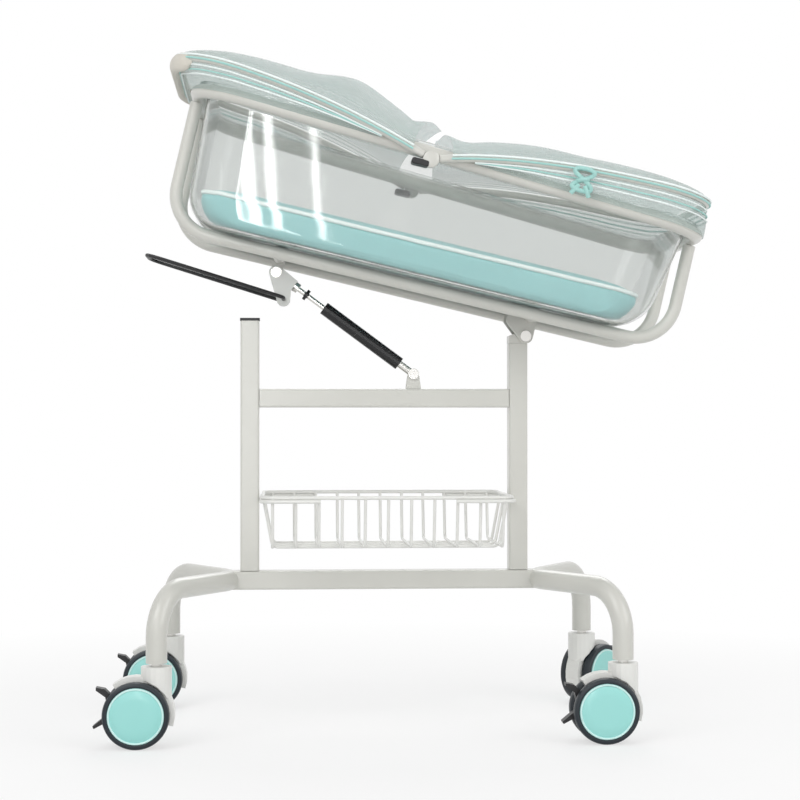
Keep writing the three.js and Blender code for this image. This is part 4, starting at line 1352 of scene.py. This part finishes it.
@dataclass
class Hood:
    """One net hood: bow, net, skirt and zip lines, in millimetres of the cot's own axes."""

    kit: Kit
    place: CotPlace
    way: Way
    reach: float
    rise: float
    ease: int
    crown: float
    ridge: float
    skirt_start: float
    fold_lift: float
    edge_lip: float
    hub_clear: float = 13.3
    half: float = 203.0
    corner: float = 95.0
    corner_steps: int = 14
    side_steps: int = 24
    bow_radius: float = 6.0
    gap: float = 0.6
    rim_clear: float = 0.5
    fullness: float = 0.55
    dome_start: float = 0.78
    dome_fall: float = 0.28
    ridge_at: float = 0.34
    ridge_spread: float = 0.13
    net_clear: float = 2.0
    net_short: float = 1.0
    net_wall: float = 0.8
    edge_set: float = 30.0
    edge_bow: float = 18.0
    lip_rise: float = 7.0
    lip_spread: float = 0.035
    dip: float = 6.0
    dip_at: float = 0.08
    dip_spread: float = 0.06
    wide_fold: float = 2.6
    wide_waves: tuple[float, float] = (8.0, 9.0)
    fine_fold: float = 1.4
    fine_waves: tuple[float, float] = (6.0, 17.0)
    fold_keep: float = 0.1
    net_rows: int = 48
    net_columns: int = 64
    skirt_out: float = 1.6
    skirt_wall: float = 0.7
    skirt_columns: int = 10
    skirt_belly: float = 1.3
    skirt_fold: float = 0.9
    skirt_fold_turn: float = 1.1
    bow_zip_out: float = 0.4
    bow_zip_rises: tuple[float, ...] = (4.2, -1.0)
    bow_zip_radius: float = 1.7
    skirt_zip_out: float = 0.6
    skirt_zip_shares: tuple[float, ...] = (0.9, 0.72, 0.56)
    skirt_zip_radius: float = 1.3
    roll_start: float = 0.35
    roll_out: float = 2.0
    roll_drop: float = 7.0
    roll_end: float = 26.0
    roll_half: float = 9.5
    roll_high: float = 15.0
    roll_tip: float = 0.1
    roll_sides: int = 20
    crease: float = 0.05
    crease_turn: float = 0.21

    @property
    def word(self) -> str:
        """The hood's name in the model."""
        return self.way.name.lower()

    @property
    def body(self) -> str:
        """The hood's CAD body."""
        return f"{self.word}_hood"

    def height(self, out: float) -> float:
        """Height of the bow at a distance from the hubs."""
        return self.place.hub_z + self.rise * (1 - (1 - min(out / self.reach, 1.0)) ** self.ease)

    def at(self, out: float, y: float, z: float) -> Vector:
        """A point at a distance out from the hubs, in metres."""
        return self.place.at(self.place.hub_x + self.way.value * out, y, z)

    def plan(self, start: float, half: float, corner: float, reach: float) -> Plan:
        """The plan of a bow from the near side round the end to the far side.

        Args:
            start: Distance where it begins.
            half: Half its width.
            corner: Corner radius.
            reach: Distance of its end.

        Returns:
            Distance out and y of each point.
        """
        turn = reach - corner
        near = [(start + (turn - start) * k / self.side_steps, -half) for k in range(self.side_steps + 1)]
        turns = [math.pi / 2 * k / self.corner_steps for k in range(1, self.corner_steps + 1)]
        near += [(turn + corner * math.sin(a), -half + corner * (1 - math.cos(a))) for a in turns]
        return near + [(x, -y) for x, y in reversed(near)]

    def build(self) -> None:
        """Builds the hood."""
        slope = self.rise * self.ease / self.reach
        plan = self.plan(self.hub_clear / math.hypot(1, slope), self.half, self.corner, self.reach)
        line = [self.at(x, y, self.height(x)) for x, y in plan]
        bow = self.kit.tubes.sweep(f"{self.word}_bow_sleeve", [(line, False)], self.bow_radius * MM,
                                   self.kit.finish.paint, sides=20)
        self.kit.keep(bow, self.body, "frame_paint", f"{self.word}_bow")
        self.build_net()
        self.build_skirt()
        self.build_zips()
        if self.way is Way.HEAD:
            self.build_roll()

    def build_zips(self) -> None:
        """Builds the zip lines: two along the bow, three across the skirt below it."""
        finish = self.kit.finish
        sweep = self.kit.tubes.sweep
        outer = self.bow_radius + self.bow_zip_out
        plan = self.plan(self.edge_set, self.half + outer, self.corner + outer, self.reach + outer)
        for k, rise in enumerate(self.bow_zip_rises):
            line = [self.at(x, y, self.height(x) + rise) for x, y in plan]
            material = finish.tape if k % 2 else finish.piping_and_highlight
            piece = sweep(f"{self.word}_bow_zip_{k}", [(line, False)], self.bow_zip_radius * MM, material,
                          sides=8)
            self.kit.keep(piece, self.body, "net_cloth")
        out = self.skirt_out + self.skirt_zip_out
        for k, share in enumerate(self.skirt_zip_shares):
            line = [self.skirt_point(i, share, out) for i in range(len(self.skirt_plans()[0]))]
            material = finish.tape if k % 2 else finish.piping_and_highlight
            piece = sweep(f"{self.word}_skirt_zip_{k}", [(line, False)], self.skirt_zip_radius * MM,
                          material, sides=8)
            self.kit.keep(piece, "cot", "net_cloth")

    def build_roll(self) -> None:
        """Builds the padded cream roll round the bow's end."""
        start = self.reach - self.corner * self.roll_start
        path = [Vector((x + self.roll_out, y, self.height(x) - self.roll_drop))
                for x, y in self.plan(0.0, self.half, self.corner, self.reach) if x > start]
        runs = [0.0]
        for a, b in zip(path, path[1:]):
            runs.append(runs[-1] + (b - a).length)
        turns = [2 * math.pi * k / self.roll_sides for k in range(self.roll_sides)]
        rings = []
        for i, (spot, run) in enumerate(zip(path, runs)):
            ahead = (path[min(i + 1, len(path) - 1)] - path[max(i - 1, 0)]).normalized()
            aside = ahead.cross(UP).normalized()
            left = min(run, runs[-1] - run) / self.roll_end
            size = max(math.sqrt(1 - (1 - min(left, 1.0)) ** 2), self.roll_tip)
            wide = aside * self.roll_half * size * (1 + self.crease * math.sin(run * self.crease_turn))
            high = UP * self.roll_high * size
            rings.append([self.at(*(spot + wide * math.cos(a) + high * math.sin(a))) for a in turns])
        roll = lofted(f"{self.word}_roll", rings, self.kit.finish.roll)
        self.kit.keep(roll, self.body, "net_cloth")

    def net_point(self, t: float, across: float, lift: float) -> Vector:
        """A point of the net.

        Args:
            t: 0 at the open edge, 1 at the end.
            across: -1 at the near bow, 1 at the far bow.
            lift: Distance above the surface.

        Returns:
            The point in metres.
        """
        middle = 1 - across * across
        edge = self.edge_set - self.edge_bow * middle - self.edge_lip * middle ** 3
        reach = self.reach - self.net_short
        out = edge + (reach - edge) * t
        into = max(out - (self.reach - self.corner), 0.0)
        half = self.half - self.corner + math.sqrt(max(self.corner ** 2 - into * into, 0.0))
        rest = self.height(self.edge_set + (reach - self.edge_set) * t) + self.net_lift
        ridge = self.ridge * bell(t, self.ridge_at, self.ridge_spread)
        dome = math.sqrt(max(1 - t ** 4, 0.0)) * (self.dome_start - self.dome_fall * t + ridge)
        wide_across, wide_along = self.wide_waves
        fine_across, fine_along = self.fine_waves
        fold = self.wide_fold * math.sin(across * wide_across + t * wide_along) * (1 - t)
        fold += self.fine_fold * math.sin(across * fine_across + t * fine_along)
        lip = self.lip_rise * bell(t, 0.0, self.lip_spread)
        lip -= self.dip * bell(t, self.dip_at, self.dip_spread)
        full = max(middle, 0.0) ** self.fullness
        return self.at(out, across * half, rest + (self.crown * dome + fold + lip) * full + lift)

    @property
    def net_lift(self) -> float:
        """Height of the net's side edges above the bow's centre line."""
        return self.bow_radius + self.gap + self.net_clear

    def build_net(self) -> None:
        """Builds the domed net as one thin sheet."""
        points: list[Vector] = []
        uvs: list[tuple[float, float]] = []
        for lift in (0.0, -self.net_wall):
            for r in range(self.net_rows + 1):
                for c in range(self.net_columns + 1):
                    t, across = r / self.net_rows, 2 * c / self.net_columns - 1
                    points.append(self.net_point(t, across, lift))
                    uvs.append((t * self.reach * MM, across * self.half * MM))
        rows, columns = self.net_rows + 1, self.net_columns + 1
        faces = shell_faces(rows, columns)
        net = mesh_object(f"{self.word}_net_sheet", points, faces, self.kit.finish.net, uvs)
        self.kit.keep(net, self.body, "net_cloth", f"{self.word}_net")
        foot = self.place.hub_z + self.fold_lift
        slope = (self.height(self.reach) + self.net_lift - foot) / self.reach
        anchor = self.at(0.0, 0.0, foot)
        axis = (self.at(-slope, 0.0, foot + 1) - anchor).normalized()
        tuple(anchor)
        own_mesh(net)
        self.flat_size(points, rows, columns)

    def flat_size(self, points: Sequence[Vector], rows: int, columns: int) -> tuple[float, float]:
        """The net's cut size, measured across a third of the way along it and along its middle.

        Args:
            points: The sheet's points, row by row.
            rows: How many rows.
            columns: Points in each row.

        Returns:
            Width and length in metres.
        """
        row = rows // 3
        across = [points[row * columns + c] for c in range(columns)]
        along = [points[r * columns + columns // 2] for r in range(rows)]
        return tuple(sum((b - a).length for a, b in zip(line, line[1:])) for line in (across, along))

    def skirt_plans(self) -> tuple[Plan, Plan]:
        """The skirt's lower edge on the rim and its upper edge under the bow, in plan.

        Returns:
            The two plans, point by point alike.
        """
        p = self.place
        outer = p.rim_radius + self.rim_clear
        rim_end = p.head if self.way is Way.HEAD else p.foot
        low = self.plan(self.skirt_start, p.rim_half + outer, p.rim_corner + outer,
                        abs(rim_end - p.hub_x) + outer)
        return low, self.plan(self.skirt_start, self.half, self.corner, self.reach)

    def skirt_point(self, index: int, share: float, out: float) -> Vector:
        """A point of the skirt.

        Args:
            index: Which point of its plan.
            share: 0 at the rim, 1 at the bow.
            out: Distance outside its plan.

        Returns:
            The point in metres.
        """
        low, high = self.skirt_plans()
        (lx, ly), (hx, hy) = low[index], high[index]
        bottom = self.place.rim(self.place.hub_x + self.way.value * lx)
        top = self.height(hx) - self.bow_radius - self.gap
        x, y = lx + (hx - lx) * share, ly + (hy - ly) * share
        fold = self.skirt_belly + self.skirt_fold * math.sin(index * self.skirt_fold_turn)
        out += fold * math.sin(math.pi * share)
        turning = min(max((hx - (self.reach - self.corner)) / self.corner, 0.0), 1.0)
        y += math.copysign(out * math.sqrt(1 - turning * turning), y)
        return self.at(x + out * turning, y, bottom + (top - bottom) * share)

    def build_skirt(self) -> None:
        """Builds the gathered skirt between the bow and the rim."""
        rows, columns = len(self.skirt_plans()[0]), self.skirt_columns
        points: list[Vector] = []
        uvs: list[tuple[float, float]] = []
        for out in (self.skirt_out, self.skirt_out - self.skirt_wall):
            run = 0.0
            for i in range(rows):
                line = [self.skirt_point(i, k / (columns - 1), out) for k in range(columns)]
                run += (line[-1] - points[-1]).length if i else 0.0
                points.extend(line)
                uvs.extend((run, (spot - line[0]).length) for spot in line)
        faces = shell_faces(rows, columns)
        skirt = mesh_object(f"{self.word}_skirt_sheet", points, faces, self.kit.finish.net, uvs)
        self.kit.keep(skirt, "cot", "net_cloth", f"{self.word}_skirt")
        length = sum((points[(i + 1) * columns] - points[i * columns]).length for i in range(rows - 1))


@dataclass
class Ribbon:
    """The tied teal ribbon on the foot hood's near skirt, in millimetres of the cot's own axes."""

    kit: Kit
    place: CotPlace
    x: float = 8.0
    y: float = -213.5
    z: float = 236.0
    width: float = 15.0
    height: float = 17.0
    loop_wave: float = 2.4
    wrap_half: float = 7.0
    wrap_deep: float = 5.0
    wrap_high: float = 2.5
    tail: float = 15.0
    tail_drop: float = 9.0
    tail_start: float = 5.0
    tail_spread: float = 9.0
    tail_bow: float = 1.5
    tail_steps: int = 8
    thread: float = 3.5
    steps: int = 48

    def build(self) -> None:
        """Builds the knot's crossing loop, its middle wrap and two tails as one piece."""
        turns = [2 * math.pi * k / self.steps for k in range(self.steps)]
        loop = [(self.x + self.width * math.sin(2 * a), self.y - self.loop_wave * math.sin(3 * a),
                 self.z + self.height * math.cos(a)) for a in turns]
        wrap = [(self.x + self.wrap_half * math.cos(a), self.y + self.wrap_deep * math.sin(a),
                 self.z + self.wrap_high * math.cos(a)) for a in turns]
        routes = [(loop, True), (wrap, True)]
        shares = [k / self.tail_steps for k in range(self.tail_steps + 1)]
        for side in (-1, 1):
            tail = [(self.x + side * (self.tail_start + self.tail_spread * share),
                     self.y - self.tail_bow * math.sin(math.pi * share),
                     self.z - self.tail_drop - self.tail * share) for share in shares]
            routes.append((tail, False))
        lines = [([self.place.at(*spot) for spot in route], closed) for route, closed in routes]
        piece = self.kit.tubes.sweep("foot_ribbon", lines, self.thread * MM, self.kit.finish.tape, sides=10)
        self.kit.keep(piece, "cot", "net_cloth")


@dataclass
class GasSpring:
    """The spring, its release head and the hand loop."""

    kit: Kit

    def build(self) -> None:
        """Dresses the spring's CAD nodes."""
        finish = self.kit.finish
        self.kit.paint(finish.cylinder, "spring_cylinder")
        self.kit.paint(finish.rod, "spring_rod")
        self.kit.paint(finish.zinc, "release_head")
        self.kit.paint(finish.black, "release_handle")


@dataclass(frozen=True)
class Lamp:
    """A square lamp that faces the middle of the object, in metres and watts."""

    name: str
    spot: Point
    power: float
    width: float

    def build(self, middle: Vector) -> None:
        """Hangs the lamp.

        Args:
            middle: The point that it faces.
        """
        light = bpy.data.lights.new(self.name, "AREA")
        light.energy, light.size = self.power, self.width
        holder = bpy.data.objects.new(self.name, light)
        holder.location = self.spot
        holder.rotation_euler = (middle - Vector(self.spot)).to_track_quat("-Z", "Y").to_euler()
        bpy.context.collection.objects.link(holder)


@dataclass
class Studio:
    """Floor, light and camera, in metres."""

    eye: Point = (-0.1753, -3.033, 0.495)
    yaw: float = math.radians(3.787)
    pitch: float = math.radians(0.455)
    lens: float = 85.0
    sensor: float = 36.0
    ambient: float = 0.46
    floor_half: float = 6.0
    middle_height: float = 0.55
    lamps: tuple[Lamp, ...] = (
        Lamp("key", (-1.8, -2.4, 2.8), power=50, width=2.2),
        Lamp("fill", (2.2, -1.8, 1.8), power=26, width=2.0),
        Lamp("rim", (0.4, 2.4, 2.6), power=30, width=2.0),
    )
    strips: tuple[tuple[float, float], ...] = ((-0.36, 0.03), (-0.44, 0.045), (-0.50, 0.03), (-0.20, 0.02))
    strip_y: float = -4.0
    strip_z: float = 0.9
    strip_length: float = 2.2
    strip_power: float = 150.0

    def build(self) -> None:
        """Builds the stage."""
        self.build_world()
        size = self.floor_half
        corners = [Vector((sx * size, sy * size, 0)) for sx, sy in ((-1, -1), (1, -1), (1, 1), (-1, 1))]
        floor = mesh_object("floor", corners, [(0, 1, 2, 3)], FloorFinish().make())
        for lamp in self.lamps:
            lamp.build(Vector((0, 0, self.middle_height)))
        for number, (x, width) in enumerate(self.strips):
            self.build_strip(f"strip_{number}", x, width)
        self.build_camera()

    def build_world(self) -> None:
        """Lights the object softly from all round, and shows the rays that are seen a white backdrop."""
        world = bpy.data.worlds.new("studio")
        bpy.context.scene.world = world
        world.use_nodes = True
        tree = NodeTree(world.node_tree)
        back = tree.nodes["Background"]
        tree.link(back.inputs["Color"], WHITE)
        inputs = {"Value": tree.seen_ray(), "To Min": self.ambient, "To Max": 1.0}
        tree.link(back.inputs["Strength"], tree.node("ShaderNodeMapRange", {}, inputs))

    def build_strip(self, name: str, x: float, width: float) -> None:
        """Hangs one upright strip lamp, for the streaks on the tub.

        Args:
            name: The lamp's name.
            x: Its place.
            width: Its width.
        """
        light = bpy.data.lights.new(name, "AREA")
        light.shape, light.size, light.size_y = "RECTANGLE", width, self.strip_length
        light.energy = self.strip_power * width
        holder = bpy.data.objects.new(name, light)
        holder.location = (x, self.strip_y, self.strip_z)
        holder.rotation_euler = (math.pi / 2, 0.0, 0.0)
        bpy.context.collection.objects.link(holder)

    def build_camera(self) -> None:
        """Sets up the photograph's camera."""
        lens = bpy.data.cameras.new("camera")
        lens.lens, lens.sensor_width, lens.sensor_fit = self.lens, self.sensor, "HORIZONTAL"
        camera = bpy.data.objects.new("camera", lens)
        camera.location = self.eye
        camera.rotation_euler = (math.pi / 2 + self.pitch, 0.0, -self.yaw)
        bpy.context.collection.objects.link(camera)
        bpy.context.scene.camera = camera


def build_casters(kit: Kit, base: BaseFrame) -> None:
    """Builds the four casters under the leg tubes, the far one at the foot swivelled as photographed.

    Args:
        kit: What they are built with.
        base: The frame that they stand under.
    """
    swivels = {"foot_far": math.radians(224.0)}
    for end, sx in (("head", -1), ("foot", 1)):
        for depth, sy in (("near", -1), ("far", 1)):
            name = f"{end}_{depth}"
            Caster(kit, name, sx * base.stem_x, sy * base.stem_y, swivels.get(name, 0.0)).build()


def main() -> None:
    logging.basicConfig(level=logging.INFO)
    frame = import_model()
    bpy.context.scene.view_settings.view_transform = "Standard"
    Studio().build()
    kit = Kit(frame, Finishes(), TubeTree())
    place = CotPlace()
    base = BaseFrame(kit)
    base.build()
    build_casters(kit, base)
    Cot(kit, place).build()
    Hood(kit, place, Way.HEAD, reach=409.0, rise=69.0, ease=2, crown=70.0, ridge=0.29, skirt_start=80.0,
         fold_lift=3.0, edge_lip=28.0).build()
    Hood(kit, place, Way.FOOT, reach=440.0, rise=45.0, ease=3, crown=50.0, ridge=0.05, skirt_start=66.0,
         fold_lift=6.5, edge_lip=0.0).build()
    Ribbon(kit, place).build()
    GasSpring(kit).build()


if __name__ == "__main__":
    main()
